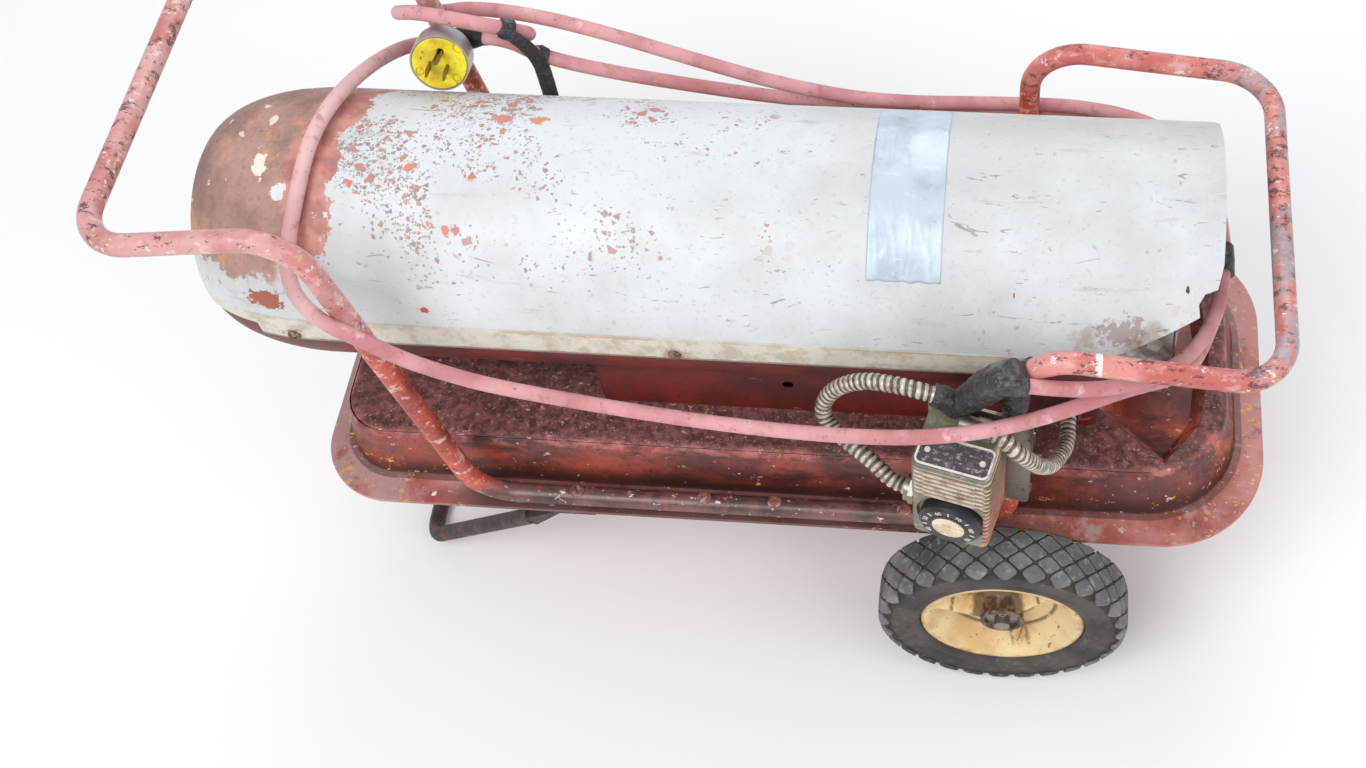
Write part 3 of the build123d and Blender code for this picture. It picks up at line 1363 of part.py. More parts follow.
with BuildPart() as plug_face:
    with BuildSketch(plug_plane(5)):
        Circle(plug_face_r)
    extrude(amount=5)
    fillet(plug_face.edges().filter_by(GeomType.CIRCLE).sort_by(Axis(plug_face_centre, plug_ahead))[-1], 1.2)
    with BuildSketch(plug_plane(0)):
        Circle(11.6)
    extrude(amount=1)
    with BuildSketch(plug_plane(-1)):
        with Locations((-blade_gap / 2, 2), (blade_gap / 2, 2)):
            Rectangle(1.9, 6.9)
        with Locations((0, -9.8)):
            Circle(2.9)
    extrude(amount=-5.9, mode=Mode.SUBTRACT)
    with BuildSketch(plug_plane(0)):
        with Locations((-13.5, 8.5), (13.5, 8.5)):
            Circle(3.1)
        with Locations((-12.5, -15.5)):
            Circle(4)
    extrude(amount=-2.4, mode=Mode.SUBTRACT)
    with BuildSketch(plug_plane(2.4)):
        with Locations((-13.5, 8.5), (13.5, 8.5)):
            Circle(2.7)
    extrude(amount=1.9)
save(plug_face, "plug_face")

with BuildPart() as plug_blades:
    with BuildSketch(plug_plane(4.8)):
        with Locations((-blade_gap / 2, 2), (blade_gap / 2, 2)):
            Rectangle(1.6, 6.4)
    extrude(amount=20.5)
    with BuildSketch(plug_plane(4.8)):
        with Locations((0, -9.8)):
            Circle(2.4)
            with Locations((0, -1.4)):
                Rectangle(2, 2.8, mode=Mode.SUBTRACT)
    extrude(amount=23)
save(plug_blades, "plug_blades")

with BuildPart() as plug_sleeve:
    with BuildSketch(plug_plane(1.2)):
        Circle(plug_sleeve_r)
        Circle(plug_sleeve_r - 1.2, mode=Mode.SUBTRACT)
    extrude(amount=-19.8)
save(plug_sleeve, "plug_sleeve")

with BuildPart() as plug_cover:
    with BuildSketch(plug_plane(5 + touch)):
        Circle(plug_face_r)
    extrude(amount=5 + touch - 21)
    with BuildSketch(plug_plane(21)):
        Circle(plug_face_r)
    with BuildSketch(plug_plane(30)):
        Circle(17)
    with BuildSketch(plug_plane(plug_length)):
        Circle(plug_tail_r)
    loft()
save(plug_cover, "plug_cover")

plug_tail = plug_face_centre - plug_ahead * plug_length
cord_end = Vector(*cord_points[-1])
cord_arrives = (cord_end - Vector(*cord_points[-2])).normalized()
gland_ahead = (cord_end - plug_tail).normalized()
with BuildPart() as plug_gland:
    with BuildSketch(Plane(origin=plug_tail + gland_ahead * 9, z_dir=gland_ahead)):
        Circle(9)
    with BuildSketch(Plane(origin=plug_tail + gland_ahead * 20, z_dir=gland_ahead)):
        Circle(8.2)
    with BuildSketch(Plane(origin=cord_end + cord_arrives * touch, z_dir=-cord_arrives)):
        Circle(cord_dia / 2 + 0.8)
    loft()
    with BuildSketch(plug_plane(21 + touch)):
        Circle(plug_face_r + touch)
    with BuildSketch(plug_plane(30)):
        Circle(17 + touch)
    with BuildSketch(plug_plane(plug_length + 0.1)):
        Circle(plug_tail_r + touch)
    loft(mode=Mode.SUBTRACT)
save(plug_gland, "plug_gland")
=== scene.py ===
# %% [markdown]
# # A worn forced air heater
# The metal pieces come from a finished frame: tank, shell, tubes, wheels and the works inside.
# This lesson gives them the finishes of an old workshop machine, and makes the soft pieces,
# such as the cord and the wound tape, as new meshes that lie where the frame says.

# %% Load the frame
import bpy
import bmesh
import math
from mathutils import Matrix, Vector, noise


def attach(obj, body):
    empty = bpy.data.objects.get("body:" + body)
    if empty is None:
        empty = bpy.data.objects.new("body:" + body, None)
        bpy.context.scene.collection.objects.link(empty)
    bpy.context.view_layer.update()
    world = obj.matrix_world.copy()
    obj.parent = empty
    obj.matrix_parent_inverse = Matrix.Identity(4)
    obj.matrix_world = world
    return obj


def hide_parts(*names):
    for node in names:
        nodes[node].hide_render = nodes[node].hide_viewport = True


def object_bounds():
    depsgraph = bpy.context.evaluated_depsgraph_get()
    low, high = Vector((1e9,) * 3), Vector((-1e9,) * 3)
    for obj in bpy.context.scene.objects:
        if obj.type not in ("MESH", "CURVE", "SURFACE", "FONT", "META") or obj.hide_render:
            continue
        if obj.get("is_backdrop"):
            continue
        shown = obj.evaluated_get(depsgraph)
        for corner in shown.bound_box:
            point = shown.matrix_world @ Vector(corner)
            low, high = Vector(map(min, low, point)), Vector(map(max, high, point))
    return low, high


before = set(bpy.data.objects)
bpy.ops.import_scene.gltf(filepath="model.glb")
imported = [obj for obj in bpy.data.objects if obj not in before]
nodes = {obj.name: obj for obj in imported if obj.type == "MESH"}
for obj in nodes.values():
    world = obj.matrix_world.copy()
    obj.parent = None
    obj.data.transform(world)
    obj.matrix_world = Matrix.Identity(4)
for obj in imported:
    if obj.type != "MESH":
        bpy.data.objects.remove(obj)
cad_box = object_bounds()
print("pieces in the frame", len(nodes))

# %% [markdown]
# ## Camera
# The picture was taken from above one long side, and was cropped, so the lens looks past the
# middle of the frame. A sideways shift does the same here. The camera's place and turn are
# written as a spot in metres and three angles, because a look-at point would lose the tilt.

# %% Place the camera
def add_object(name, data):
    """Put a mesh, curve, lamp or camera into the scene."""
    piece = bpy.data.objects.new(name, data)
    bpy.context.scene.collection.objects.link(piece)
    return piece


picture_width = 1366
focal_pixels = 1680.3
centre_pixel_x = 880
camera_spot = Vector((0.2077, -0.7652, 1.3474))
yaw, pitch, roll = -0.138, 0.997, 0.064

ahead = Vector((math.sin(yaw) * math.cos(pitch), math.cos(yaw) * math.cos(pitch), -math.sin(pitch)))
level_right = Vector((math.cos(yaw), -math.sin(yaw), 0))
level_down = ahead.cross(level_right)
right = level_right * math.cos(roll) + level_down * math.sin(roll)
down = level_down * math.cos(roll) - level_right * math.sin(roll)

lens = bpy.data.cameras.new("view")
lens.sensor_width = 36
lens.lens = focal_pixels * lens.sensor_width / picture_width
lens.shift_x = -(centre_pixel_x - picture_width / 2) / picture_width
lens.clip_start = 0.01
camera = add_object("view", lens)
turned = Matrix((right, -down, -ahead)).transposed()
camera.matrix_world = Matrix.Translation(camera_spot) @ turned.to_4x4()
bpy.context.scene.camera = camera
print("lens", round(lens.lens, 2), "mm, shift", round(lens.shift_x, 3))

# %% [markdown]
# ## Light and floor
# The heater stood outdoors under a bright, even sky. Three large soft lamps and a pale world
# give that light at a plain level, so a colour renders about as it is written.

# %% Floor, world and lamps
def srgb(red, green, blue):
    """A colour picked on a screen, 0 to 255, as the linear colour that a shader takes."""
    def linear(value):
        value = value / 255
        return value / 12.92 if value <= 0.04045 else ((value + 0.055) / 1.055) ** 2.4
    return (linear(red), linear(green), linear(blue), 1.0)


def mesh_from(form, name, *materials):
    """Turn a bmesh into a mesh with those materials, and free it."""
    mesh = bpy.data.meshes.new(name)
    form.to_mesh(mesh)
    form.free()
    for material in materials:
        mesh.materials.append(material)
    return mesh


def stage_floor():
    """A wide pale plane under the heater, which is white to the camera."""
    form = bmesh.new()
    bmesh.ops.create_grid(form, x_segments=1, y_segments=1, size=6)
    bmesh.ops.translate(form, verts=form.verts, vec=(0, 0, -0.0005))
    paint = bpy.data.materials.new("floor")
    paint.use_nodes = True
    shader = paint.node_tree.nodes["Principled BSDF"]
    shader.inputs["Base Color"].default_value = (0.88, 0.88, 0.88, 1)
    shader.inputs["Roughness"].default_value = 0.9
    return add_object("floor", mesh_from(form, "floor", paint))


def soft_lamp(name, spot, target, size, watts):
    """A square soft box that faces its target."""
    light = bpy.data.lights.new(name, "AREA")
    light.shape = "SQUARE"
    light.size = size
    light.energy = watts
    facing = (Vector(target) - Vector(spot)).to_track_quat("-Z", "Y").to_matrix().to_4x4()
    add_object(name, light).matrix_world = Matrix.Translation(spot) @ facing


stage_floor()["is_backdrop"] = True
sky = bpy.data.worlds.new("sky")
bpy.context.scene.world = sky
sky.use_nodes = True
sky.node_tree.nodes["Background"].inputs["Color"].default_value = (0.95, 0.97, 1.0, 1)
sky.node_tree.nodes["Background"].inputs["Strength"].default_value = 0.62
soft_lamp("key", (-0.9, -1.6, 2.4), (0, 0, 0.25), 1.6, 43)
soft_lamp("fill", (1.9, -1.2, 1.5), (0, 0, 0.2), 1.8, 18)
soft_lamp("back", (0.2, 1.9, 1.9), (0, 0, 0.3), 1.6, 20)
bpy.context.scene.view_settings.view_transform = "Standard"
print("lamps", 3)

# %% [markdown]
# ## A small kit for worn finishes
# Every finish here is built from the same few nodes: noise for clouds and chips, a soft step that
# turns noise into a mask, a mix that lays one coat over another, and a bump. Each call below adds
# such a node. What it returns can be added and multiplied like a number, and simple coats are
# rows of a list, so that a finish reads like a recipe.

# %% Node helpers
even = (1, 1, 1)


def wire(tree, value, socket):
    """Link a Value, or set a plain number, vector, screen colour of three or linear one of four."""
    if isinstance(value, Value):
        tree.links.new(value.socket, socket)
    elif socket.type == "RGBA" and len(value) == 3:
        socket.default_value = srgb(*value)
    else:
        socket.default_value = value


def add_node(tree, kind, output, inputs, **settings):
    """Add one node with its settings and inputs, and return one of its outputs."""
    node = tree.nodes.new("ShaderNode" + kind)
    for name, value in settings.items():
        setattr(node, name, value)
    for name, value in inputs.items():
        wire(tree, value, node.inputs[name])
    return Value(tree, node.outputs[output])


class Value:
    """An output in a finish's tree. Sums, products and steps of it are new nodes."""

    def __init__(self, tree, socket):
        self.tree = tree
        self.socket = socket

    def math(self, kind, other=0.0):
        return add_node(self.tree, "Math", 0, {0: self, 1: other}, operation=kind)

    def __add__(self, other):
        return self.math("ADD", other)

    def __sub__(self, other):
        return self.math("SUBTRACT", other)

    def __mul__(self, other):
        return self.math("MULTIPLY", other)

    def __truediv__(self, other):
        return self.math("DIVIDE", other)

    def step(self, low, high):
        """A soft step from 0 at low to 1 at high, or falling where low is above high."""
        levels = {"Value": self, "From Min": min(low, high), "From Max": max(low, high)}
        levels |= {"To Min": float(low > high), "To Max": float(low < high)}
        return add_node(self.tree, "MapRange", "Result", levels, interpolation_type="SMOOTHSTEP")


class Finish:
    """A material with a principled shader, and short calls for the clouds and coats of a recipe."""

    def __init__(self, name, metallic=0.0, specular=0.5):
        self.material = bpy.data.materials.new(name)
        self.material.use_nodes = True
        self.tree = self.material.node_tree
        self.shader = self.tree.nodes["Principled BSDF"]
        self.shader.inputs["Metallic"].default_value = metallic
        self.shader.inputs["Specular IOR Level"].default_value = specular
        self.place = self.add("TexCoord", "Object", {})

    def add(self, kind, output, inputs, **settings):
        return add_node(self.tree, kind, output, inputs, **settings)

    def stretched(self, stretch=even, move=(0, 0, 0), turn=(0, 0, 0)):
        """The piece's own coordinates, stretched, moved and turned."""
        inputs = {"Vector": self.place, "Location": move, "Rotation": turn, "Scale": stretch}
        return self.add("Mapping", "Vector", inputs)

    def axis(self, letter, where=None):
        """One coordinate of the piece, in metres."""
        return self.add("SeparateXYZ", letter, {"Vector": where or self.place})

    def distance(self, stretch, move):
        """The distance from a spot, or from a line where one stretch is 0."""
        return self.add("VectorMath", "Value", {0: self.stretched(stretch, move)}, operation="LENGTH")

    def cloud(self, scale, detail=4, rough=0.55, stretch=None, move=(0, 0, 0), warp=0.0, turn=(0, 0, 0)):
        """Noise, scale in clouds per metre, on the piece's coordinates or on stretched ones."""
        where = self.stretched(stretch, move, turn) if stretch else self.place
        inputs = {"Vector": where, "Scale": scale, "Detail": detail, "Roughness": rough, "Distortion": warp}
        return self.add("TexNoise", "Fac", inputs)

    def cells(self, scale, where=None, feature="F1", output="Distance"):
        """Voronoi cells, scale in cells per metre."""
        inputs = {"Vector": where or self.place, "Scale": scale}
        return self.add("TexVoronoi", output, inputs, feature=feature)

    def coat(self, mask, under, over):
        """The over colour or value laid on the under one where the mask is 1."""
        if isinstance(over, float):
            return self.add("Mix", 0, {0: mask, 2: under, 3: over})
        return self.add("Mix", 2, {0: mask, 6: under, 7: over}, data_type="RGBA")

    def worn(self, under, *coats):
        """Lay coats on a colour: each is a tone, its share, the step's two levels and its cloud."""
        for tone, share, low, high, *cloud in coats:
            under = self.coat(self.cloud(*cloud).step(low, high) * share, under, tone)
        return under

    def bump(self, height, strength, depth, under=None):
        """A bump from a height, its depth in metres, over an earlier bump if there is one."""
        inputs = {"Height": height, "Strength": strength, "Distance": depth}
        return self.add("Bump", "Normal", inputs | ({"Normal": under} if under else {}))

    def done(self, colour, roughness, normal=None, metal=None):
        """Wire the finished recipe into the shader."""
        recipe = {"Base Color": colour, "Roughness": roughness, "Normal": normal, "Metallic": metal}
        for name, value in recipe.items():
            if value is not None:
                wire(self.tree, value, self.shader.inputs[name])
        return self.material


def paint_nodes(material, *names):
    """Give CAD nodes a finish through their material slots."""
    for name in names:
        piece = nodes[name]
        if not piece.material_slots:
            piece.data.materials.append(material)
        for one in piece.material_slots:
            one.material = material


print("helpers ready")

# %% [markdown]
# ## White paint that flakes to red primer
# The upper shell was sprayed white over red primer. The white has clouded and cracked, and it
# has flaked in spots that crowd towards the nose. The nose itself burnt: the paint went brown
# and orange there, with a ragged edge. Each of these is a mask laid over the one before.

# %% Upper shell
def flakes(paint, scale, share, groups, move=(0, 0, 0)):
    """Angular chips: whole cells picked by their own random tone, with a thin rim left round each."""
    where = paint.stretched(move=move)
    jitter = paint.cells(scale, where, output="Color")
    inside = paint.cells(scale, where, "DISTANCE_TO_EDGE").step(0.06, 0.14)
    chosen = (paint.axis("X", jitter) + groups).step(1.0 - share, 1.0 - share + 0.02)
    return inside * chosen, paint.axis("Y", jitter)


def spot(paint, place, size, stretch=even, ragged=1.5):
    """An irregular patch round one place, given in metres."""
    away = paint.distance(stretch, tuple(-value * scale for value, scale in zip(place, stretch)))
    wander = (paint.cloud(150, 5, 0.72) - 0.5) * (2 * ragged * size)
    return (away + wander).step(size, size - 0.0006)


# place, size, stretch and colour of the larger bare patches and marks
shell_marks = (
    ((-0.332, -0.027, 0.442), 0.0085, (1.7, 0.75, 1), (238, 222, 206)),
    ((-0.331, 0.014, 0.445), 0.0050, (1.6, 0.7, 1), (232, 212, 190)),
    ((-0.314, -0.045, 0.435), 0.0065, even, (222, 224, 224)),
    ((-0.332, -0.098, 0.372), 0.0095, (0.6, 1, 1.2), (160, 90, 66)),
    ((-0.164, 0.024, 0.443), 0.0058, (0.7, 1, 1), (202, 138, 122)),
    ((-0.136, 0.025, 0.443), 0.0050, (0.7, 1, 1), (208, 140, 106)),
    ((-0.222, -0.024, 0.443), 0.0042, even, (210, 136, 108)),
    ((-0.191, -0.064, 0.423), 0.0034, even, (208, 124, 110)),
    ((-0.184, -0.064, 0.423), 0.0030, even, (204, 118, 106)),
    ((-0.212, -0.098, 0.372), 0.0027, even, (200, 82, 50)),
    ((0.210, -0.083, 0.404), 0.0020, (2, 1, 0.6), (196, 88, 78)),
    ((0.328, -0.076, 0.411), 0.0030, (2, 1, 1), (66, 62, 60)),
)
screw_places = (-0.318, -0.033, 0.205)


def shell_finish():
    paint = Finish("flaked_white_paint")
    x, y, z = paint.axis("X"), paint.axis("Y"), paint.axis("Z")
    # white that is clouded, specked, dragged and cracked, and dirty low down at the intake end
    low_end = x.step(0.19, 0.30) * z.step(0.405, 0.375)
    white = paint.worn(
        (213, 217, 220),
        ((196, 198, 198), 1, 0.40, 0.66, 6, 5, 0.62),
        ((172, 168, 162), 0.35, 0.58, 0.68, 230, 3, 0.7),
        ((176, 170, 162), 0.5, 0.60, 0.70, 46, 5, 0.7, (0.22, 1.3, 1.3)),
        ((138, 124, 116), 0.7, 0.655, 0.68, 120, 3, 0.7, (0.3, 1.2, 1.2), (0, 0, 0), 1.5),
        ((158, 138, 122), low_end * 0.75, 0.50, 0.64, 34, 5, 0.7),
    )
    # angular chips that crowd towards the nose end and the top
    lean = x - y * 0.13
    patches = paint.cloud(16, 3, 0.6, even, (0.3, 5.7, 0.9)).step(0.44, 0.62)
    crowd = lean.step(0.10, -0.25) * z.step(0.385, 0.437) * patches
    small, small_tone = flakes(paint, 300, 0.012, crowd * 0.36)
    large, large_tone = flakes(paint, 135, 0.006, crowd * 0.22, (4.1, 2.2, 7.3))
    dots, _ = flakes(paint, 190, 0.004, 0.0, (1.3, 8.2, 2.9))
    fine, _ = flakes(paint, 560, 0.010, crowd * 0.40, (6.3, 1.2, 5.9))
    colour = paint.coat(small * 0.9, white, paint.coat(small_tone, (196, 132, 118), (152, 130, 126)))
    colour = paint.coat(large * 0.92, colour, paint.coat(large_tone, (200, 118, 96), (178, 142, 134)))
    colour = paint.coat(dots * 0.85, colour, (196, 88, 62))
    colour = paint.coat(fine * 0.8, colour, (150, 132, 134))
    # the primer that shows in front of the white, pink with ashen clouds
    ragged = paint.cloud(44, 5, 0.7) - 0.5
    bare = (lean + ragged * 0.055).step(-0.270, -0.2715) * (z + ragged * 0.05).step(0.396, 0.399)
    pink = paint.worn(
        (202, 144, 132),
        ((176, 118, 110), 1, 0.42, 0.6, 60, 4, 0.6),
        ((142, 118, 116), 0.7, 0.56, 0.66, 38, 4, 0.65, even, (2, 2, 5)),
    )
    colour = paint.coat(bare, colour, pink)
    # the burnt nose: mauve brown, with orange rust, dark grain and peeled cream patches
    burnt = (lean + ragged * 0.03).step(-0.304, -0.310) * (z + ragged * 0.045).step(0.386, 0.389)
    rust = paint.worn(
        (144, 116, 106),
        ((184, 146, 134), 1, 0.36, 0.62, 15, 6, 0.72, (1.0, 0.6, 0.6)),
        ((214, 158, 116), 0.75, 0.52, 0.68, 24, 5, 0.68, even, (1, 6, 2)),
        ((104, 78, 70), 0.4, 0.56, 0.68, 240, 3, 0.75),
        ((232, 212, 196), 0.9, 0.645, 0.655, 38, 4, 0.62, even, (8, 2, 1)),
    )
    colour = paint.coat(burnt, colour, rust)
    # dark stains low on the nose, then the larger marks, and a smear near the intake
    low_nose = x.step(-0.305, -0.315) * z.step(0.392, 0.388)
    colour = paint.worn(colour, ((128, 112, 100), low_nose * 0.7, 0.57, 0.66, 70, 5, 0.75, even, (2, 1, 3)))
    for place, size, stretch, tone in shell_marks:
        colour = paint.coat(spot(paint, place, size, stretch), colour, tone)
    smear = spot(paint, (0.285, -0.095, 0.381), 0.012, (0.8, 1, 1), 2.4)
    colour = paint.coat(smear * 0.6, colour, (140, 116, 100))
    # the seam strip is dirtier and yellower than the sheet, and rusty round its screws
    cream = paint.worn((212, 206, 190), ((186, 172, 148), 1, 0.44, 0.64, 60, 5, 0.7))
    brown = (paint.cloud(90, 4, 0.7) + z.step(0.336, 0.331)).step(0.62, 0.95)
    cream = paint.coat(brown * 0.85, cream, (120, 84, 62))
    top_line = z.step(0.3535, 0.3550)
    cream = paint.worn(cream, ((178, 142, 96), top_line * 0.8, 0.45, 0.6, 20, 4, 0.6))
    for place in screw_places:
        rusting = spot(paint, (place, -0.1033, 0.3385), 0.0065, (0.8, 1, 1), 2.2)
        cream = paint.coat(rusting * 0.65, cream, (146, 104, 74))
    colour = paint.coat(z.step(0.3565, 0.3553) * 0.9, colour, cream)
    normal = paint.bump(paint.cloud(8, 2, 0.4), 0.35, 0.01)
    normal = paint.bump(large.math("MAXIMUM", small) * -1.0 + 1.0, 0.5, 0.0004, normal)
    normal = paint.bump(paint.cloud(330, 3, 0.6), 0.12, 0.0005, normal)
    return paint.done(colour, paint.coat(burnt, 0.45, 0.75), normal)


paint_nodes(shell_finish(), "upper_shell")
print("upper shell painted")

# %% [markdown]
# ## Red paint on the tank
# The tank is red with years of dirt. Dirt lies thick on the level top, and the gutter at the foot
# of the walls, in the hollow under the shell, is painted dark as shade. The walls keep their orange
# red, and the flange has faded to pink with specks of an older yellow coat. Height above the
# ground tells these three zones apart.

# %% Tank and the red lower pieces
def tank_finish():
    paint = Finish("grimy_red_paint")
    x, y, z = paint.axis("X"), paint.axis("Y"), paint.axis("Z")
    # walls: brown red with orange red patches, long dirty streaks and grit
    ends = x.step(-0.16, -0.29).math("MAXIMUM", x.step(0.22, 0.35))
    warm = paint.cloud(18, 5, 0.65, (0.5, 1, 1), (0, 0, 0), 0.5) + z.step(0.205, 0.185) * 0.06
    red = paint.worn((152, 72, 60), ((88, 46, 42), 1, 0.38, 0.62, 11, 5, 0.6))
    red = paint.coat(warm.step(0.54, 0.68) * paint.coat(ends, 0.4, 0.95), red, (192, 84, 58))
    red = paint.worn(
        red,
        ((54, 31, 28), 0.8, 0.50, 0.64, 34, 5, 0.72, (0.3, 1.0, 1.0), (3, 0, 2)),
        ((48, 29, 26), 0.5, 0.54, 0.64, 280, 4, 0.78),
    )
    # the level top: dark crust with pink and pale grains
    grime = paint.cloud(130, 5, 0.78)
    top = (z + grime * 0.003).step(0.2215, 0.2232)
    crust = paint.worn(
        paint.coat(grime.step(0.40, 0.62), (76, 44, 42), (136, 86, 80)),
        ((88, 62, 62), 0.45, 0.48, 0.66, 14, 4, 0.6),
        ((196, 150, 142), 0.75, 0.60, 0.66, 330, 3, 0.75),
    )
    colour = paint.coat(top * 0.95, red, crust)
    # a bright band round the top's ridge: worn paint and a painted highlight
    worn_ridge_and_highlight = z.step(0.2135, 0.2185) * z.step(0.2225, 0.2205)
    colour = paint.worn(
        colour, ((196, 120, 118), worn_ridge_and_highlight * 0.7, 0.44, 0.62, 70, 4, 0.7, (0.6, 1, 1), (0, 3, 0))
    )
    # the flange: faded pink and grey, chipped and sooty
    low = z.step(0.1805, 0.1765)
    grey = (paint.cloud(24, 5, 0.7) + x.step(-0.20, -0.32) * 0.17).step(0.56, 0.68)
    pink = paint.worn((192, 132, 126), ((160, 88, 78), 1, 0.40, 0.62, 13, 5, 0.65))
    pink = paint.worn(
        paint.coat(grey * 0.7, pink, (186, 160, 158)),
        ((226, 190, 180), 0.7, 0.61, 0.66, 120, 4, 0.7),
        ((96, 58, 52), 0.6, 0.57, 0.68, 60, 5, 0.75, even, (7, 2, 4)),
    )
    colour = paint.coat(low * 0.95, colour, pink)
    # painted shade: the flange is painted nearly black under the rails, and the gutter above it is painted
    # dark
    shade = y.math("ABSOLUTE").step(0.128, 0.138) * low * x.step(-0.25, -0.20) * x.step(0.215, 0.16)
    colour = paint.coat(shade * 0.8, colour, (58, 42, 40))
    gutter_shade = z.step(0.1760, 0.1780) * z.step(0.1985, 0.1830)
    colour = paint.coat(gutter_shade * 0.8, colour, (50, 32, 29))
    # flecks of an older yellow crowd at the corners, and pale ones lie all over
    corners = x.step(-0.20, -0.29).math("MAXIMUM", x.step(0.28, 0.37))
    yellow = (paint.cloud(150, 4, 0.65, (0.6, 1, 1), (4, 1, 2)) + corners * 0.075).step(0.695, 0.71)
    colour = paint.coat(yellow * z.step(0.206, 0.200) * 0.9, colour, (222, 166, 62))
    colour = paint.worn(colour, ((222, 186, 178), 0.7, 0.655, 0.69, 210, 3, 0.7, (0.6, 1, 1)))
    normal = paint.bump(grime * top + paint.cloud(12, 2) * 1.1, 0.5, 0.0022)
    return paint.done(colour, paint.coat(top, 0.36, 0.74), normal)


def dark_red_finish():
    paint = Finish("dark_red_paint")
    grime = paint.cloud(80, 4, 0.7)
    red = paint.worn((118, 36, 30), ((78, 27, 24), 1, 0.4, 0.65, 13, 5, 0.6))
    red = paint.coat(grime.step(0.55, 0.7) * 0.7, red, (58, 34, 30))
    red = paint.worn(red, ((186, 96, 82), 0.6, 0.66, 0.70, 45, 3, 0.6, (0.4, 1, 1)))
    return paint.done(red, 0.5, paint.bump(grime, 0.3, 0.0008))


paint_nodes(tank_finish(), "tank_upper", "tank_lower", "filler_neck")
paint_nodes(dark_red_finish(), "lower_shell", "saddle")
print("tank painted")

# %% [markdown]
# ## Scuffed tubes
# Hands and ropes wear a tube at its bends and grips: the salmon red is scuffed through to
# black and to bare steel there. The scuffs are long along X, because that is how the tubes
# were dragged, so the noise behind them is stretched along X.

# %% Handles
def tube_finish():
    paint = Finish("scuffed_tube_paint")
    x, y, z = paint.axis("X"), paint.axis("Y"), paint.axis("Z")
    # orange red on the legs, faded pink above, coral on the rear grip, grey brown along the rails
    soft = paint.cloud(19, 5, 0.65).step(0.40, 0.64)
    strong = paint.coat(soft, (196, 88, 68), (150, 62, 52))
    faded = paint.coat(soft, (208, 156, 153), (186, 118, 113))
    coral = paint.coat(soft, (214, 142, 134), (190, 100, 92))
    rail = paint.coat(soft, (122, 84, 82), (72, 52, 50))
    height = z + paint.cloud(9, 4, 0.6) * 0.05
    rear = x.step(0.10, 0.16) * z.step(0.37, 0.385)
    colour = paint.coat(height.step(0.405, 0.455), strong, faded)
    colour = paint.coat(rear, colour, coral)
    colour = paint.coat(z.step(0.205, 0.190), colour, rail)
    rubbed = paint.coat(rear, 0.65, 0.3) * z.step(0.185, 0.215)
    colour = paint.worn(
        colour,
        ((236, 200, 194), rubbed, 0.54, 0.62, 110, 5, 0.75, (0.6, 1, 1), (5, 3, 2)),
        ((192, 82, 68), 0.4, 0.56, 0.66, 26, 4, 0.65, even, (1, 9, 4)),
    )
    # scuffs through to black, thickest at the far ends of the grips
    ends = x.step(-0.33, -0.40) + x.step(0.30, 0.385)
    rails = z.step(0.200, 0.190)
    scuff = paint.cloud(165, 5, 0.80, (0.45, 0.8, 0.8))
    black = (scuff + (ends * 0.045 + (rear * 0.022 + rails * 0.02))).step(0.592, 0.635)
    colour = paint.coat(black * 0.82, colour, (70, 56, 56))
    # bare steel at the far end of the rear grip
    colour = paint.worn(
        colour, ((168, 160, 166), x.step(0.345, 0.392) * 0.75, 0.44, 0.54, 46, 5, 0.7, (1, 0.4, 1))
    )
    # a worn white ring round the near rear grip, and bright scratches everywhere
    ring = x.step(0.2660, 0.2666) * x.step(0.2712, 0.2706) * y.step(-0.12, -0.13) * z.step(0.385, 0.39)
    colour = paint.coat(ring * scuff.step(0.60, 0.54) * 0.9, colour, (236, 226, 222))
    colour = paint.worn(colour, ((240, 224, 220), 0.8, 0.62, 0.66, 150, 4, 0.75, (0.6, 1, 1), (1, 4, 6)))
    normal = paint.bump(paint.coat(black, scuff * 0.4, 0.0), 0.4, 0.0006)
    return paint.done(colour, paint.coat(rails, paint.coat(black, 0.40, 0.6), 0.3), normal)


def stand_finish():
    paint = Finish("worn_dark_steel")
    grime = paint.cloud(60, 5, 0.7)
    colour = paint.coat(grime.step(0.45, 0.65), (44, 38, 36), (92, 62, 50))
    return paint.done(colour, 0.55, paint.bump(grime, 0.3, 0.0006))


paint_nodes(tube_finish(), "front_handle", "rear_handle")
paint_nodes(stand_finish(), "front_stand", "axle_brackets")
print("tubes painted")

# %% [markdown]
# ## Steel, rust and galvanised sheet
# Small hardware is steel with rust in its hollows. Sheet parts inside the shell are zinc
# coated, which shows as faint flat crystals.

# %% Metals
def rusty_finish(name, rust_share):
    paint = Finish(name)
    grain = paint.cloud(260, 4, 0.7)
    rust = grain.step(0.72 - 0.4 * rust_share, 0.78 - 0.3 * rust_share)
    brown = paint.worn((96, 62, 46), ((150, 92, 60), 1, 0.45, 0.6, 420, 3))
    colour = paint.coat(rust, (150, 142, 132), brown)
    normal = paint.bump(grain, 0.4, 0.0004)
    return paint.done(colour, paint.coat(rust, 0.38, 0.8), normal, paint.coat(rust, 0.9, 0.0))


def zinc_finish(name, shade):
    paint = Finish(name, metallic=0.85)
    tone = paint.axis("X", paint.cells(120, output="Color"))
    colour = paint.coat(tone.step(0.2, 0.9), shade, [value * 0.78 for value in shade])
    stain = paint.cloud(40, 4, 0.7).step(0.52, 0.7)
    colour = paint.coat(stain * 0.6, colour, (126, 110, 92))
    return paint.done(colour, paint.coat(stain, 0.36, 0.6))


def burnt_finish():
    paint = Finish("heat_stained_steel", metallic=0.6)
    scale = paint.cloud(18, 5, 0.65)
    colour = paint.coat(scale.step(0.4, 0.62), (70, 54, 48), (128, 84, 60))
    return paint.done(colour, 0.6, paint.bump(scale, 0.3, 0.001))


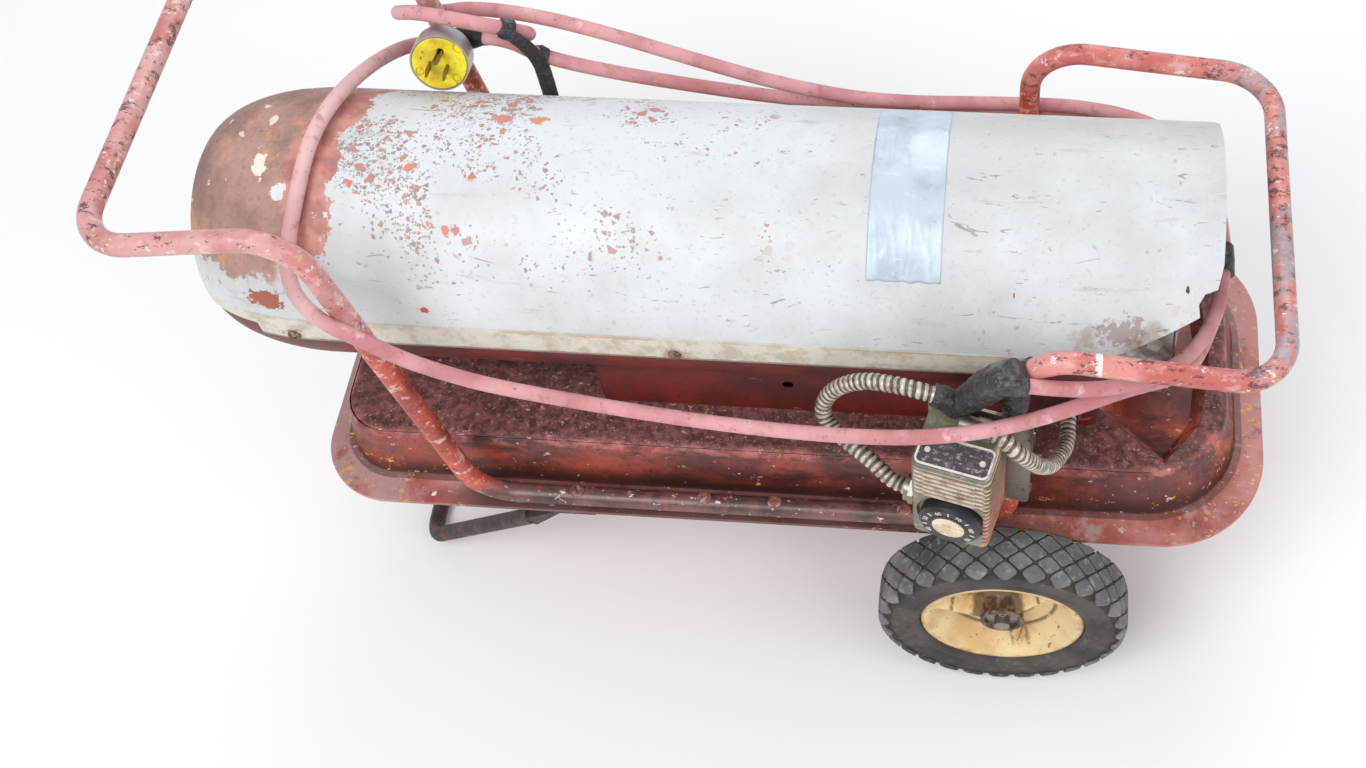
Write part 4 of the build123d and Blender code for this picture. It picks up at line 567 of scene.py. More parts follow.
def plain_finish(name, tone, roughness, metallic=0.0, scale=90):
    """One tone with soft clouds of a darker shade."""
    paint = Finish(name, metallic)
    soft = paint.cloud(scale, 4, 0.6)
    shade = (*[value * 0.72 for value in srgb(*tone)[:3]], 1.0)
    colour = paint.coat(soft.step(0.45, 0.7) * 0.6, tone, shade)
    return paint.done(colour, roughness, paint.bump(soft, 0.15, 0.0004))


def painted_bolt_finish():
    paint = Finish("red_painted_bolt")
    worn = paint.cloud(240, 4, 0.7).step(0.50, 0.62)
    base = paint.worn((150, 92, 84), ((104, 66, 60), 1, 0.4, 0.6, 90, 3))
    return paint.done(paint.coat(worn * 0.7, base, (188, 156, 150)), 0.5, paint.bump(worn, 0.3, 0.0003))


paint_nodes(rusty_finish("rusty_bolt_steel", 0.75), "rail_nuts", "shell_screws", "strap_screws", "drain_plug")
paint_nodes(painted_bolt_finish(), "rail_bolts")
paint_nodes(
    rusty_finish("axle_steel", 0.35), "axle", "axle_spacers", "axle_washers", "cotter_pins", "rail_sleeves",
    "motor_shaft", "fan_guard",
)
paint_nodes(zinc_finish("zinc_sheet", (178, 176, 170)), "fan_shroud", "motor_mount", "thermo_straps")
paint_nodes(burnt_finish(), "combustion_chamber", "chamber_straps", "burner_head")
paint_nodes(plain_finish("black_enamel", (34, 34, 36), 0.4), "motor", "ignition_box")
paint_nodes(plain_finish("cast_aluminium", (176, 176, 172), 0.45, 0.8), "fan", "air_pump", "filter_cover")
paint_nodes(plain_finish("brass_pipe", (182, 146, 82), 0.35, 0.9), "nozzle", "fuel_line", "air_line")
paint_nodes(plain_finish("glazed_ceramic", (232, 226, 210), 0.25), "electrodes")
paint_nodes(plain_finish("black_plastic", (28, 28, 29), 0.42), "fuel_cap")
print("metals done")

# %% [markdown]
# ## Wheels
# The tyre is grey rubber with dust in its tread. The hub was pressed from sheet and painted
# cream; brake dust and grease have gathered round the barrel, and the crease round the floor
# and the ribs' corners are painted dark, with grime and painted shade.

# %% Tyres and hubs
wheel_middle = Vector((0.2145, 0, 0.1015))
rib_turns = [math.radians(turn) for turn in (-72, 48, 168)]


def radius_from_axle(paint):
    """Distance from the axle's line, in metres."""
    return paint.distance((1, 0, 1), (-wheel_middle.x, 0, -wheel_middle.z))


def tyre_finish():
    paint = Finish("dusty_rubber", specular=0.35)
    out = radius_from_axle(paint)
    rubber = paint.worn((62, 58, 56), ((84, 78, 73), 1, 0.4, 0.65, 28, 4, 0.6))
    # the shoulders' grooves, between the tread blocks, are painted dark as shade
    groove = out.step(0.0985, 0.0965) * out.step(0.088, 0.090)
    colour = paint.coat(groove * 0.6, rubber, (34, 31, 29))
    colour = paint.worn(colour, ((120, 112, 102), 0.5, 0.56, 0.7, 120, 4, 0.7))
    return paint.done(colour, 0.72, paint.bump(paint.cloud(300, 3, 0.6), 0.25, 0.0005))


def hub_finish():
    paint = Finish("cream_hub_paint")
    out = radius_from_axle(paint)
    along_x = paint.axis("X") - wheel_middle.x
    along_z = paint.axis("Z") - wheel_middle.z
    dirt = paint.cloud(80, 5, 0.72)
    colour = paint.worn(
        (226, 202, 152),
        ((206, 170, 116), 1, 0.42, 0.66, 26, 5, 0.6),
        ((206, 146, 84), 0.7, 0.54, 0.70, 20, 5, 0.65, even, (2, 4, 1)),
    )
    grease = (out.step(0.034, 0.017) + dirt * 0.9).step(0.72, 1.15)
    colour = paint.coat(grease * 0.85, colour, (92, 72, 48))
    # grime and painted shade in the crease round the floor and along the feet of the ribs
    crease = out.step(0.0402, 0.0418) * out.step(0.0448, 0.0430) * dirt.step(0.36, 0.50)
    for turn in rib_turns:
        level = along_x * math.cos(turn) + along_z * math.sin(turn)
        away = along_z * math.cos(turn) - along_x * math.sin(turn)
        away = (away + (dirt - 0.5) * 0.006).math("ABSOLUTE")
        rib_foot_shade = away.step(0.0042, 0.0056) * away.step(0.0092, 0.0066)
        rib_foot_shade = rib_foot_shade * level.step(0.016, 0.019) * level.step(0.058, 0.050)
        crease = crease.math("MAXIMUM", rib_foot_shade * 0.8)
    colour = paint.coat(crease * 0.85, colour, (104, 78, 50))
    # the rim's paint has turned orange, and specks of rust lie all over
    colour = paint.worn(
        colour,
        ((186, 120, 60), out.step(0.0582, 0.0612) * 0.8, 0.48, 0.62, 34, 5, 0.7),
        ((92, 58, 36), 0.8, 0.64, 0.67, 130, 3, 0.7),
    )
    rust = paint.worn((70, 54, 42), ((124, 96, 68), 1, 0.45, 0.6, 150, 3))
    colour = paint.coat(out.step(0.0188, 0.0179), colour, rust)
    return paint.done(colour, 0.42, paint.bump(paint.cloud(90, 3), 0.2, 0.0005))


print("wheel finishes ready")

# %% [markdown]
# ## The cord's line
# The rubber cord is wound loosely round both handles, so it is one smooth curve whose control
# points lie at the crossings, on the tubes that carry it, and over the shell. A NURBS curve
# of order three stays near its points and never kinks, as a stiff rubber cord does.

# %% Cord
cord_points = [
    (210, -156, 404), (239, -153, 396), (272, -142, 381), (306, -125, 369), (334, -96, 357),
    (352, -66, 353), (362, -24, 351), (363, 29, 350), (351, 92, 349), (314, 132, 345), (262, 151, 340),
    (206, 155.5, 336), (95, 148, 339), (18, 141, 363), (-49, 134, 396), (-114, 130, 426),
    (-167, 135, 436), (-219, 148, 428), (-245, 156, 414), (-268, 151, 418), (-271, 135, 433),
    (-263, 120, 448), (-242, 110, 459), (-207, 96, 467), (-159, 104, 448), (-178, 147, 402),
    (-216, 151, 391), (-255, 157, 381), (-273, 138, 395), (-281, 104, 416), (-285, 62, 438),
    (-288, 21, 454), (-293, -16, 455), (-297, -48, 441), (-302, -78, 422), (-295, -110, 416),
    (-273, -137, 426), (-248, -156, 432), (-227, -159, 421), (-206, -160, 403), (-183, -158, 385),
    (-154, -154, 364), (-87, -150, 340), (-16, -151, 327), (57, -157, 328), (123, -170, 348),
    (172, -178, 369), (215, -168, 371), (256, -145, 361), (294, -122, 354), (336, -101, 343),
    (352, -61, 340), (364, -20, 338), (365, 36, 338), (352, 92, 337), (314, 130, 333),
    (262, 149, 327.5), (206, 155.5, 323), (94, 158, 324), (16, 144, 344), (-53, 133, 367),
    (-118, 120, 394), (-163, 113, 416), (-177, 107, 437), (-197, 108, 438),
]
cord_thickness = 0.011


def route_curve(name, points, thick=0.0):
    """A smooth curve near the points, which are in millimetres, as a tube or a bare line."""
    curve = bpy.data.curves.new(name, "CURVE")
    curve.dimensions = "3D"
    curve.resolution_u = 10
    curve.bevel_depth = 1.0 if thick else 0.0
    curve.bevel_resolution = 6
    curve.use_fill_caps = thick > 0
    line = curve.splines.new("NURBS")
    line.points.add(len(points) - 1)
    for spot, point in zip(line.points, points):
        spot.co = (*[value / 1000 for value in point], 1.0)
        spot.radius = thick
    line.order_u = 3
    line.use_endpoint_u = True
    return add_object(name, curve)


def run_length(line):
    return sum((after - before).length for before, after in zip(line, line[1:]))


def route_stations(points, step):
    """Evenly spaced spots along the smooth route, in metres."""
    guide = route_curve("guide", points)
    mesh = bpy.data.meshes.new_from_object(guide)
    spots = [vertex.co.copy() for vertex in mesh.vertices]
    bpy.data.objects.remove(guide)
    runs = [(after - before).length for before, after in zip(spots, spots[1:])]
    count = max(2, round(sum(runs) / step))
    gap = sum(runs) / count
    stations, walked, index = [spots[0]], 0.0, 0
    for number in range(1, count):
        while walked + runs[index] < number * gap:
            walked += runs[index]
            index += 1
        share = (number * gap - walked) / runs[index]
        stations.append(spots[index].lerp(spots[index + 1], share))
    stations.append(spots[-1])
    return stations


def cord_finish():
    paint = Finish("faded_cord_rubber", specular=0.3)
    dirt = paint.cloud(85, 5, 0.72)
    pink = paint.worn((214, 158, 159), ((190, 126, 129), 1, 0.40, 0.64, 14, 4, 0.6))
    by_plug = paint.axis("Z").step(0.385, 0.43) * paint.axis("X").step(-0.235, -0.275)
    pink = paint.coat(by_plug * 0.75, pink, (226, 190, 188))
    pink = paint.coat(dirt.step(0.52, 0.68) * 0.6, pink, (168, 112, 110))
    colour = paint.worn(
        pink,
        ((88, 58, 56), 0.7, 0.66, 0.71, 210, 3, 0.7),
        ((238, 204, 200), 0.55, 0.60, 0.70, 34, 4, 0.7, even, (4, 2, 7)),
        ((170, 96, 98), 0.35, 0.52, 0.66, 6, 2, 0.5, even, (1, 9, 2)),
    )
    return paint.done(colour, 0.62, paint.bump(dirt, 0.35, 0.0006))


cord = route_curve("power_cord", cord_points, cord_thickness / 2)
cord.data.materials.append(cord_finish())
cord_line = route_stations(cord_points, 0.004)
cord_length = run_length(cord_line)
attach(cord, "heater")
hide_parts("cord")
print("cord", round(cord_length, 3), "m")

# %% [markdown]
# ## Tubes swept from rings
# Ribbed conduit and wound tape are both tubes whose thickness changes along their line. Each
# is made from circles set across the route, one after the other, and bridged in pairs. The
# side direction of every circle follows from the one before it, so the tube doesn't twist.

# %% Swept rings
def ring_frames(stations):
    """A matrix for each station: z along the route, with as little twist as may be."""
    frames = []
    side = Vector((0, 0, 1))
    last = len(stations) - 1
    for number, spot in enumerate(stations):
        along = (stations[min(number + 1, last)] - stations[max(number - 1, 0)]).normalized()
        if abs(along.dot(side)) > 0.98:
            side = Vector((1, 0, 0))
        side = (side - along * side.dot(along)).normalized()
        up = along.cross(side)
        frames.append(Matrix.Translation(spot) @ Matrix((side, up, along)).transposed().to_4x4())
    return frames


def swept_rings(form, frames, radii, segments):
    """Bridge circles of the given radii, and return the rings, each a list of vertices."""
    rings, edges_before = [], None
    last = len(frames) - 1
    for number, (frame_here, radius) in enumerate(zip(frames, radii)):
        made = bmesh.ops.create_circle(
            form, cap_ends=number in (0, last), segments=segments, radius=radius, matrix=frame_here
        )
        ring = made["verts"]
        beside = {edge for vertex in ring for edge in vertex.link_edges}
        edges = [edge for edge in beside if all(vertex in ring for vertex in edge.verts)]
        if edges_before is not None:
            bmesh.ops.bridge_loops(form, edges=edges_before + edges)
        edges_before = edges
        rings.append(ring)
    return rings


def finish_piece(form, name, material, body, smooth=True):
    """Close a bmesh, put it in the scene and let it ride on a body."""
    bmesh.ops.recalc_face_normals(form, faces=form.faces)
    mesh = mesh_from(form, name, material)
    for face in mesh.polygons:
        face.use_smooth = smooth
    piece = add_object(name, mesh)
    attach(piece, body)
    return piece


# %% [markdown]
# ## Flexible metal conduit
# The conduit is one zinc coated strip wound into a tube, each turn hooked into the last. It
# shows as round crests with narrow valleys, painted dark as shade, and the turns lie a little
# askew, because they are a helix. Tilting each ring by a few degrees gives that slant.

# %% Conduits
def conduit_finish():
    paint = Finish("worn_conduit_zinc", metallic=0.55)
    grime = paint.cloud(150, 4, 0.7)
    colour = paint.coat(grime.step(0.42, 0.66), (216, 207, 191), (162, 150, 134))
    colour = paint.worn(colour, ((112, 94, 80), 0.7, 0.54, 0.7, 48, 4, 0.65))
    # the valleys between the crests are painted dark as shade
    crest = paint.add("Attribute", "Fac", {}, attribute_name="crest").step(0.25, 0.80)
    colour = paint.coat(crest, paint.coat(0.85, colour, (78, 62, 50)), colour)
    return paint.done(colour, 0.42, paint.bump(grime, 0.3, 0.0004))


conduit_metal = conduit_finish()
valley_radius, crest_height = 0.00515, 0.00115
crest_profile = (0.0, 0.45, 0.85, 1.0, 1.0, 0.85, 0.45, 0.0)


def ribbed_conduit(name, points, ribs, tilt):
    """A conduit along the route with that many crests."""
    stations = route_stations(points, 0.0007)
    steps = len(crest_profile)
    count = ribs * steps
    pick = [stations[round(number * (len(stations) - 1) / count)] for number in range(count + 1)]
    heights = [crest_profile[number % steps] for number in range(count + 1)]
    slanted = []
    for number, one in enumerate(ring_frames(pick)):
        ease = min(1.0, number / 20, (count - number) / 20)
        slanted.append(one @ Matrix.Rotation(tilt * ease, 4, "X"))
    form = bmesh.new()
    crest = form.verts.layers.float.new("crest")
    rings = swept_rings(form, slanted, [valley_radius + crest_height * height for height in heights], 20)
    for ring, height in zip(rings, heights):
        for vertex in ring:
            vertex[crest] = height
    return finish_piece(form, name, conduit_metal, "heater"), pick


conduit_in_points = [
    (165, -145.5, 366), (150, -143.5, 370), (133, -139, 369), (107, -129, 358), (85, -123, 336),
    (74, -123, 311), (79, -129, 295), (95, -141, 291), (114, -153, 286), (125.9, -160.8, 277),
    (136.3, -164.5, 273), (146.4, -167, 273),
]
conduit_out_points = [
    (195.1, -160.3, 350.1), (205.5, -163.9, 349.6), (217, -171, 341), (226.5, -167, 324),
    (235, -158, 300), (243, -145, 279), (250, -128, 264), (256, -110, 253), (256.5, -93, 247.5),
    (256.5, -75, 246),
]
for node, points, ribs in (("conduit_in", conduit_in_points, 42), ("conduit_out", conduit_out_points, 34)):
    piece, line = ribbed_conduit("ribbed_" + node, points, ribs, math.radians(9))
    length = run_length(line)
    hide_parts(node)
    print(node, round(length, 3), "m")

# %% [markdown]
# ## Wound black tape
# A splice in the cord is bound with black tape, wound in lapping turns round the cord, the
# conduit and the handle's elbow. A turn shows as a step that runs round in a spiral, and old
# tape is creased. So each ring's points move outwards by a sawtooth of the spiral, plus noise.

# %% Tape
def tape_finish():
    paint = Finish("creased_black_tape", specular=0.6)
    dust = paint.cloud(120, 5, 0.7)
    colour = paint.coat(dust.step(0.48, 0.7), (42, 41, 43), (84, 81, 80))
    colour = paint.worn(colour, ((142, 136, 134), 0.5, 0.55, 0.68, 40, 4, 0.7, even, (3, 5, 1)))
    creases = paint.cloud(110, 3, 0.5, even, (0, 0, 0), 2.6, (0, math.radians(50), 0))
    return paint.done(colour, paint.coat(dust.step(0.45, 0.65), 0.3, 0.6), paint.bump(creases, 0.8, 0.002))


black_tape = tape_finish()
tape_step = 0.0012
tape_layer = 0.0008
tape_crumple = 0.0005


def wound_tape(form, points, radii, turn_length):
    """Add a wound tube to the form. Radii are in millimetres, spread evenly along the route."""
    frames = ring_frames(route_stations(points, tape_step))
    last = len(frames) - 1
    spread = []
    for number in range(last + 1):
        place = number / last * (len(radii) - 1)
        low = min(int(place), len(radii) - 2)
        spread.append((radii[low] + (radii[low + 1] - radii[low]) * (place - low)) / 1000)
    for number, (ring, frame_here) in enumerate(zip(swept_rings(form, frames, spread, 36), frames)):
        middle = frame_here.translation
        for vertex in ring:
            out = vertex.co - middle
            local = frame_here.inverted() @ vertex.co
            turned = math.atan2(local.y, local.x) / (2 * math.pi)
            lap = (number * tape_step / turn_length + turned) % 1.0
            swell = tape_layer * lap + tape_crumple * noise.noise(vertex.co * 160)
            vertex.co = middle + out * (1 + swell / out.length)


splice_form = bmesh.new()
splice_points = [
    (172, -145, 354), (178, -147, 364), (185, -149, 375), (195, -150, 390), (207, -150, 404),
    (215, -149, 413),
]
wound_tape(splice_form, splice_points, [8.6, 9.4, 10.8, 12.0, 11.4, 7.6], 0.011)
leg_x, leg_y, elbow_radius, elbow_height = 214.5, -140.3, 38, 371.8
elbow_points = [(leg_x, leg_y, 352), (leg_x, leg_y, 361)]
for degrees in (0, 8, 16, 24, 32, 40, 46):
    slant = math.radians(degrees)
    back = elbow_radius * (1 - math.cos(slant))
    elbow_points.append((leg_x + back, leg_y, elbow_height + elbow_radius * math.sin(slant)))
wound_tape(splice_form, elbow_points, [9.5, 9.7, 9.9, 10.0, 10.1, 10.0, 9.8, 9.6, 9.0], 0.012)
conduit_end = [(158, -144.6, 368.2), (166, -145.5, 365.6), (174, -147, 361)]
wound_tape(splice_form, conduit_end, [7.9, 8.6, 9.2], 0.008)
cord_start = [(203, -154.5, 403), (212, -156, 403.4), (222, -155, 400.6)]
wound_tape(splice_form, cord_start, [8.6, 8.0, 6.4], 0.009)
splice = finish_piece(splice_form, "splice_tape_wound", black_tape, "heater")
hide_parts("splice_tape")
print("splice", len(splice.data.polygons), "faces")

# %% [markdown]
# ## Tape tie and sleeve
# Where two runs of the cord meet behind the barrel, collars of the same tape hold them, and a torn
# end hangs down. The collars are wound like the splice. The end is a flat strip, made from
# flattened circles that all face one way, because tape bends easily in one direction only.

# %% Tape tie and sleeve
sleeve_form = bmesh.new()
wound_tape(sleeve_form, [(362.2, -16, 350.7), (362.2, -4, 350.7), (362.2, 8, 350.7)], [7.4, 7.6, 7.4], 0.009)
sleeve = finish_piece(sleeve_form, "cord_sleeve_wound", black_tape, "heater")
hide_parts("cord_sleeve")


def tape_band(form, points, width, thick, flat):
    """A flat strip along the route, its width held towards the flat direction."""
    stations = route_stations(points, 0.002)
    frames = ring_frames(stations)
    edges_before = None
    for frame_here in frames:
        along = frame_here.col[2].to_3d()
        across = (Vector(flat) - along * along.dot(Vector(flat))).normalized()
        made = bmesh.ops.create_circle(form, segments=12, radius=1.0)
        ring = made["verts"]
        out = along.cross(across)
        middle = frame_here.translation
        for vertex in ring:
            sway = noise.noise(vertex.co * 0.7 + middle * 90) * 0.0009
            vertex.co = middle + across * (vertex.co.x * width / 2) + out * (vertex.co.y * thick / 2 + sway)
        edges = list({edge for vertex in ring for edge in vertex.link_edges})
        if edges_before is not None:
            bmesh.ops.bridge_loops(form, edges=edges_before + edges)
        edges_before = edges
    bmesh.ops.holes_fill(form, edges=form.edges, sides=0)


tie_form = bmesh.new()
upper_collar = (-174.5, 101.6, 453.6), (0.83, 0.27, -0.48)
lower_collar = (-159, 113.6, 414), (-0.89, -0.14, 0.43)
for middle, along in (upper_collar, lower_collar):
    collar = [tuple(m + a * reach for m, a in zip(middle, along)) for reach in (-5, 0, 5)]
    wound_tape(tie_form, collar, [7.0, 7.5, 7.1], 0.008)
tape_route = [
    (-176, 96, 459), (-169, 98, 449), (-163, 103.5, 433), (-159, 106.5, 417), (-157.5, 107.5, 401),
    (-158, 108, 353),
]
tape_band(tie_form, tape_route, 0.0120, 0.0022, (0.97, 0.25, 0))
tie = finish_piece(tie_form, "tape_tie_wound", black_tape, "heater")
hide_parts("tape_tie")
print("tie", len(tie.data.polygons), "faces")

# %% [markdown]
# ## Silver tape across the shell
# A strip of cloth tape is stuck over the top of the shell. It is thin, so it is one sheet laid
# on the cylinder, with a few long wrinkles, a torn near end and edges that have lifted.

# %% Silver tape
def silver_finish():
    paint = Finish("silver_cloth_tape", specular=0.6)
    colour = paint.worn(
        (196, 208, 220),
        ((172, 184, 197), 1, 0.40, 0.66, 26, 4, 0.6),
        ((216, 224, 232), 0.6, 0.58, 0.70, 90, 4, 0.7, (0.5, 1.4, 1)),
        ((132, 130, 126), 0.6, 0.60, 0.72, 60, 5, 0.75, even, (5, 3, 9)),
    )
    creases = paint.cloud(40, 4, 0.6, (1.4, 0.8, 0.8), (0, 0, 0), 1.2, (0, 0.5, 0))
    return paint.done(colour, 0.42, paint.bump(creases, 0.3, 0.0007), 0.2)


shell_radius, shell_height = 0.1019, 0.3438
tape_start, tape_width = 0.107, 0.052
tape_clearance, tape_thickness = 0.00034, 0.0003
near_angle, far_angle = math.radians(39), math.radians(130)


def silver_tape():
    form = bmesh.new()
    bmesh.ops.create_grid(form, x_segments=40, y_segments=90, size=0.5)
    for vertex in form.verts:
        across, along = vertex.co.x + 0.5, vertex.co.y + 0.5
        tear = 0.007 * noise.noise(Vector((across * 9, 0, 4))) * (1 if along < 0.5 else 0.4)
        near_weight = max(0.0, 1 - along / 0.12)
        far_weight = max(0.0, (along - 0.88) / 0.12)
        angle = near_angle + (far_angle - near_angle) * (along + tear * (near_weight - far_weight))
        edge = min(across, 1 - across)
        lift = 0.0005 * max(0.0, 1 - edge / 0.06) * max(0.0, noise.noise(Vector((along * 11, across * 2, 1))))
        fold = abs(noise.noise(Vector((across * 7 + along * 1.5, along * 3.2, 7))))
        wrinkle = 0.0007 * max(0.0, 0.07 - fold) / 0.07 * (0.3 + 0.7 * along)
        radius = shell_radius + tape_clearance + lift + wrinkle
        sway = 0.0012 * noise.noise(Vector((along * 6, across, 2))) * (1 - 2 * abs(across - 0.5))
        x = tape_start + tape_width * across + sway
        vertex.co = Vector((x, -radius * math.cos(angle), shell_height + radius * math.sin(angle)))
    bmesh.ops.recalc_face_normals(form, faces=form.faces)
    bmesh.ops.solidify(form, geom=form.faces[:], thickness=tape_thickness)
    return finish_piece(form, "silver_tape_laid", silver_finish(), "heater")


silver = silver_tape()
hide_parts("duct_tape")
print("silver tape", len(silver.data.polygons), "faces")

# %% [markdown]
# ## Tyres with a diamond tread
# The tyre is moulded rubber with rows of diamond blocks that lap over its shoulders. A plain
# carcass is spun from its section. One column of blocks is made flat, each block from a
# four-sided circle with its corners rounded, then bent onto the crown and spun round in copies.

# %% Tyre
tyre_radius = 0.1015
tread_depth = 0.0030
crown_drop = 0.0004
blocks_round = 28
row_step = 0.0088
block_gap, row_gap = 0.0010, 0.0009
block_corner, block_bevel = 0.0026, 0.0006
block_root = 0.0008


def crown(across):
    """Distance from the middle plane and radius of the groove floor, for a length across the tread."""
    flat, bend = 0.0140, 0.0062
    floor = tyre_radius - tread_depth
    size = abs(across)
    if size <= flat:
        return across, floor - crown_drop * (size / flat) ** 2
    turn = min((size - flat) / bend, math.pi / 2)
    down = size - flat - bend * turn
    side = flat + bend * math.sin(turn)
    return math.copysign(side, across), floor - crown_drop - bend * (1 - math.cos(turn)) - max(0.0, down)


def crown_normal(across):
    """The outward direction there, as its sideways and its radial share."""
    before, after = crown(across - 0.0002), crown(across + 0.0002)
    slope = Vector((after[0] - before[0], after[1] - before[1])).normalized()
    return Vector((-slope.y, slope.x))


def diamond_block(form, across_middle, shift):
    """One raised block, its middle at a length across the tread and an angle step round it."""
    pitch = 2 * math.pi * tyre_radius / blocks_round
    made = bmesh.ops.create_circle(form, cap_ends=True, segments=4, radius=1.0)
    corners = made["verts"]
    for vertex in corners:
        vertex.co.x *= pitch / 2 - block_gap
        vertex.co.y *= row_step - row_gap
    rounded = bmesh.ops.bevel(
        form, geom=corners, offset=block_corner, affect="VERTICES", segments=3, profile=0.5, material=-1
    )
    face = next(f for f in form.faces if f.verts[0] in rounded["verts"] or f.verts[0] in corners)
    raised = bmesh.ops.extrude_face_region(form, geom=[face])
    top = [one for one in raised["geom"] if isinstance(one, bmesh.types.BMFace)][0]
    for vertex in top.verts:
        vertex.co.z = tread_depth
    bmesh.ops.bevel(
        form, geom=list(top.edges), offset=block_bevel, affect="EDGES", segments=2, profile=0.5, material=-1
    )
    for way, gap in ((Vector((1, 0, 0)), 0.005), (Vector((0, 1, 0)), 0.004)):
        for cut in (-gap, 0.0, gap):
            everything = form.verts[:] + form.edges[:] + form.faces[:]
            bmesh.ops.bisect_plane(form, geom=everything, plane_co=way * cut, plane_no=way)
    for vertex in form.verts:
        across = across_middle + vertex.co.y
        side, radius = crown(across)
        out = crown_normal(across)
        height = vertex.co.z - block_root
        angle = vertex.co.x / tyre_radius + shift * math.pi / blocks_round
        side, radius = side + out.x * height, radius + out.y * height
        vertex.co = Vector((radius * math.sin(angle), side, radius * math.cos(angle)))


def take_in(form, other):
    """Add another bmesh to the form, and free it."""
    mesh = mesh_from(other, "part")
    form.from_mesh(mesh)
    bpy.data.meshes.remove(mesh)


def tyre_mesh():
    """The carcass as material 0 and the blocks as material 1, round the origin."""
    form = bmesh.new()
    section = [(0.0625, -0.0105), (0.0668, -0.0150), (0.0668, -0.0186), (0.0700, -0.0198), (0.0735, -0.0200),
               (0.0742, -0.0196), (0.0760, -0.0196), (0.0768, -0.0203), (0.0860, -0.0203)]
    steps = 22
    across_end = 0.0230
    crown_run = [crown(-across_end + 2 * across_end * number / steps) for number in range(steps + 1)]
    outline = [(side, radius) for radius, side in section] + crown_run
    outline += [(-side, radius) for radius, side in reversed(section)]
    corners = [form.verts.new((0, side, radius)) for side, radius in outline]
    edges = [form.edges.new((a, b)) for a, b in zip(corners, corners[1:] + corners[:1])]
    bmesh.ops.spin(
        form, geom=corners + edges, cent=(0, 0, 0), axis=(0, 1, 0), angle=2 * math.pi, steps=112,
        use_merge=True,
    )
    bmesh.ops.recalc_face_normals(form, faces=form.faces)
    column = bmesh.new()
    for row in (-2, -1, 0, 1, 2):
        block = bmesh.new()
        diamond_block(block, row * row_step, row % 2)
        bmesh.ops.recalc_face_normals(block, faces=block.faces)
        take_in(column, block)
    turn = 2 * math.pi * (blocks_round - 1) / blocks_round
    bmesh.ops.spin(
        column, geom=column.faces[:], cent=(0, 0, 0), axis=(0, 1, 0), angle=turn, steps=blocks_round - 1,
        use_duplicate=True,
    )
    for face in column.faces:
        face.material_index = 1
    take_in(form, column)
    return form


def block_finish():
    paint = Finish("worn_tread_rubber", specular=0.3)
    colour = paint.worn(
        (100, 98, 99),
        ((128, 126, 126), 1, 0.4, 0.65, 26, 4, 0.6),
        ((62, 60, 61), 0.7, 0.48, 0.62, 9, 3, 0.6, even, (3, 1, 2)),
        ((168, 164, 158), 0.6, 0.52, 0.70, 150, 4, 0.7),
    )
    return paint.done(colour, 0.75, paint.bump(paint.cloud(340, 3, 0.6), 0.3, 0.0005))


carcass_rubber = tyre_finish()
tread_rubber = block_finish()
paint_nodes(carcass_rubber, "tyre_near", "tyre_far")
tyre_reach = Vector((0, 0.1744, 0))
wheels = {"near": wheel_middle - tyre_reach, "far": wheel_middle + tyre_reach}
for side, middle in wheels.items():
    form = tyre_mesh()
    bmesh.ops.translate(form, verts=form.verts, vec=middle)
    mesh = mesh_from(form, side + "_tyre", carcass_rubber, tread_rubber)
    for face in mesh.polygons:
        face.use_smooth = face.material_index == 0
    tyre = add_object(side + "_tyre", mesh)
    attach(tyre, "wheel_" + side)
    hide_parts("tyre_" + side)
    print(side, "tyre", len(mesh.polygons), "faces")

# %% [markdown]
# ## Hubs
# The pressed hub has a flat floor with a crease round it, a sloping wall up to the rim, and three
# soft ribs like teardrops. A sharp prism reads as a blade here, so the whole hub is one closed
# outline carried round the axle in small steps, and the floor swells under a smooth bell wherever
# a rib passes. Ribs, floor and wall are then one skin, as they are on a pressing.

# %% Hub
hub_outline = [
    (6.4, 9.2), (14.0, 9.2), (14.0, 13.6), (14.7, 14.6), (16.6, 14.8), (17.6, 14.2), (17.7, 12.0),
    (17.0, 11.2), (17.0, 4.0), (17.3, 1.2), (18.4, -1.0), (20.5, -2.4), (23, -3.0), (26, -3.2),
    (29, -3.3), (32, -3.4), (35, -3.5), (38, -3.5), (40.4, -3.4), (41.8, -3.9), (43.2, -3.0),
    (45, -1.2), (47, 0.9), (49, 3.0), (51, 5.2), (53, 7.5), (55, 10.0), (56.8, 12.4), (58.2, 14.7),
    (59.4, 16.2), (61, 16.8), (63.4, 16.8), (65.3, 16.3), (66, 15.3), (65.6, 14.0), (62.0, 11.4),
    (62.0, -12.8), (65.6, -15.2), (66, -16.4), (65.4, -17.6), (64, -18), (60.4, -18), (59.6, -17.2),
    (59.4, 10.0), (57.4, 10.2), (54.6, 6.6), (49.4, 0.6), (44.2, -5.0), (41.4, -6.0), (30, -5.8),
    (21.5, -5.4), (18.6, -6.6), (17.5, -8.6), (17.5, -17.4), (16.9, -18), (6.4, -18),
]
floor_first, floor_last = 8, 29
hub_steps = 216


def hub_rib(radius, level, turn):
    """How far a rib lifts the skin at one radius, level and angle, in millimetres."""
    crest = 13.2 - 0.05 * (radius - 17)
    half = 6.4 - 0.04 * (radius - 17)
    lift = 0.0
    for rib in rib_turns:
        away = radius * math.sin(turn - rib)
        if math.cos(turn - rib) > 0 and abs(away) < half:
            lift = max(lift, max(0.0, crest - level) * math.cos(math.pi * away / (2 * half)) ** 1.4)
    return lift


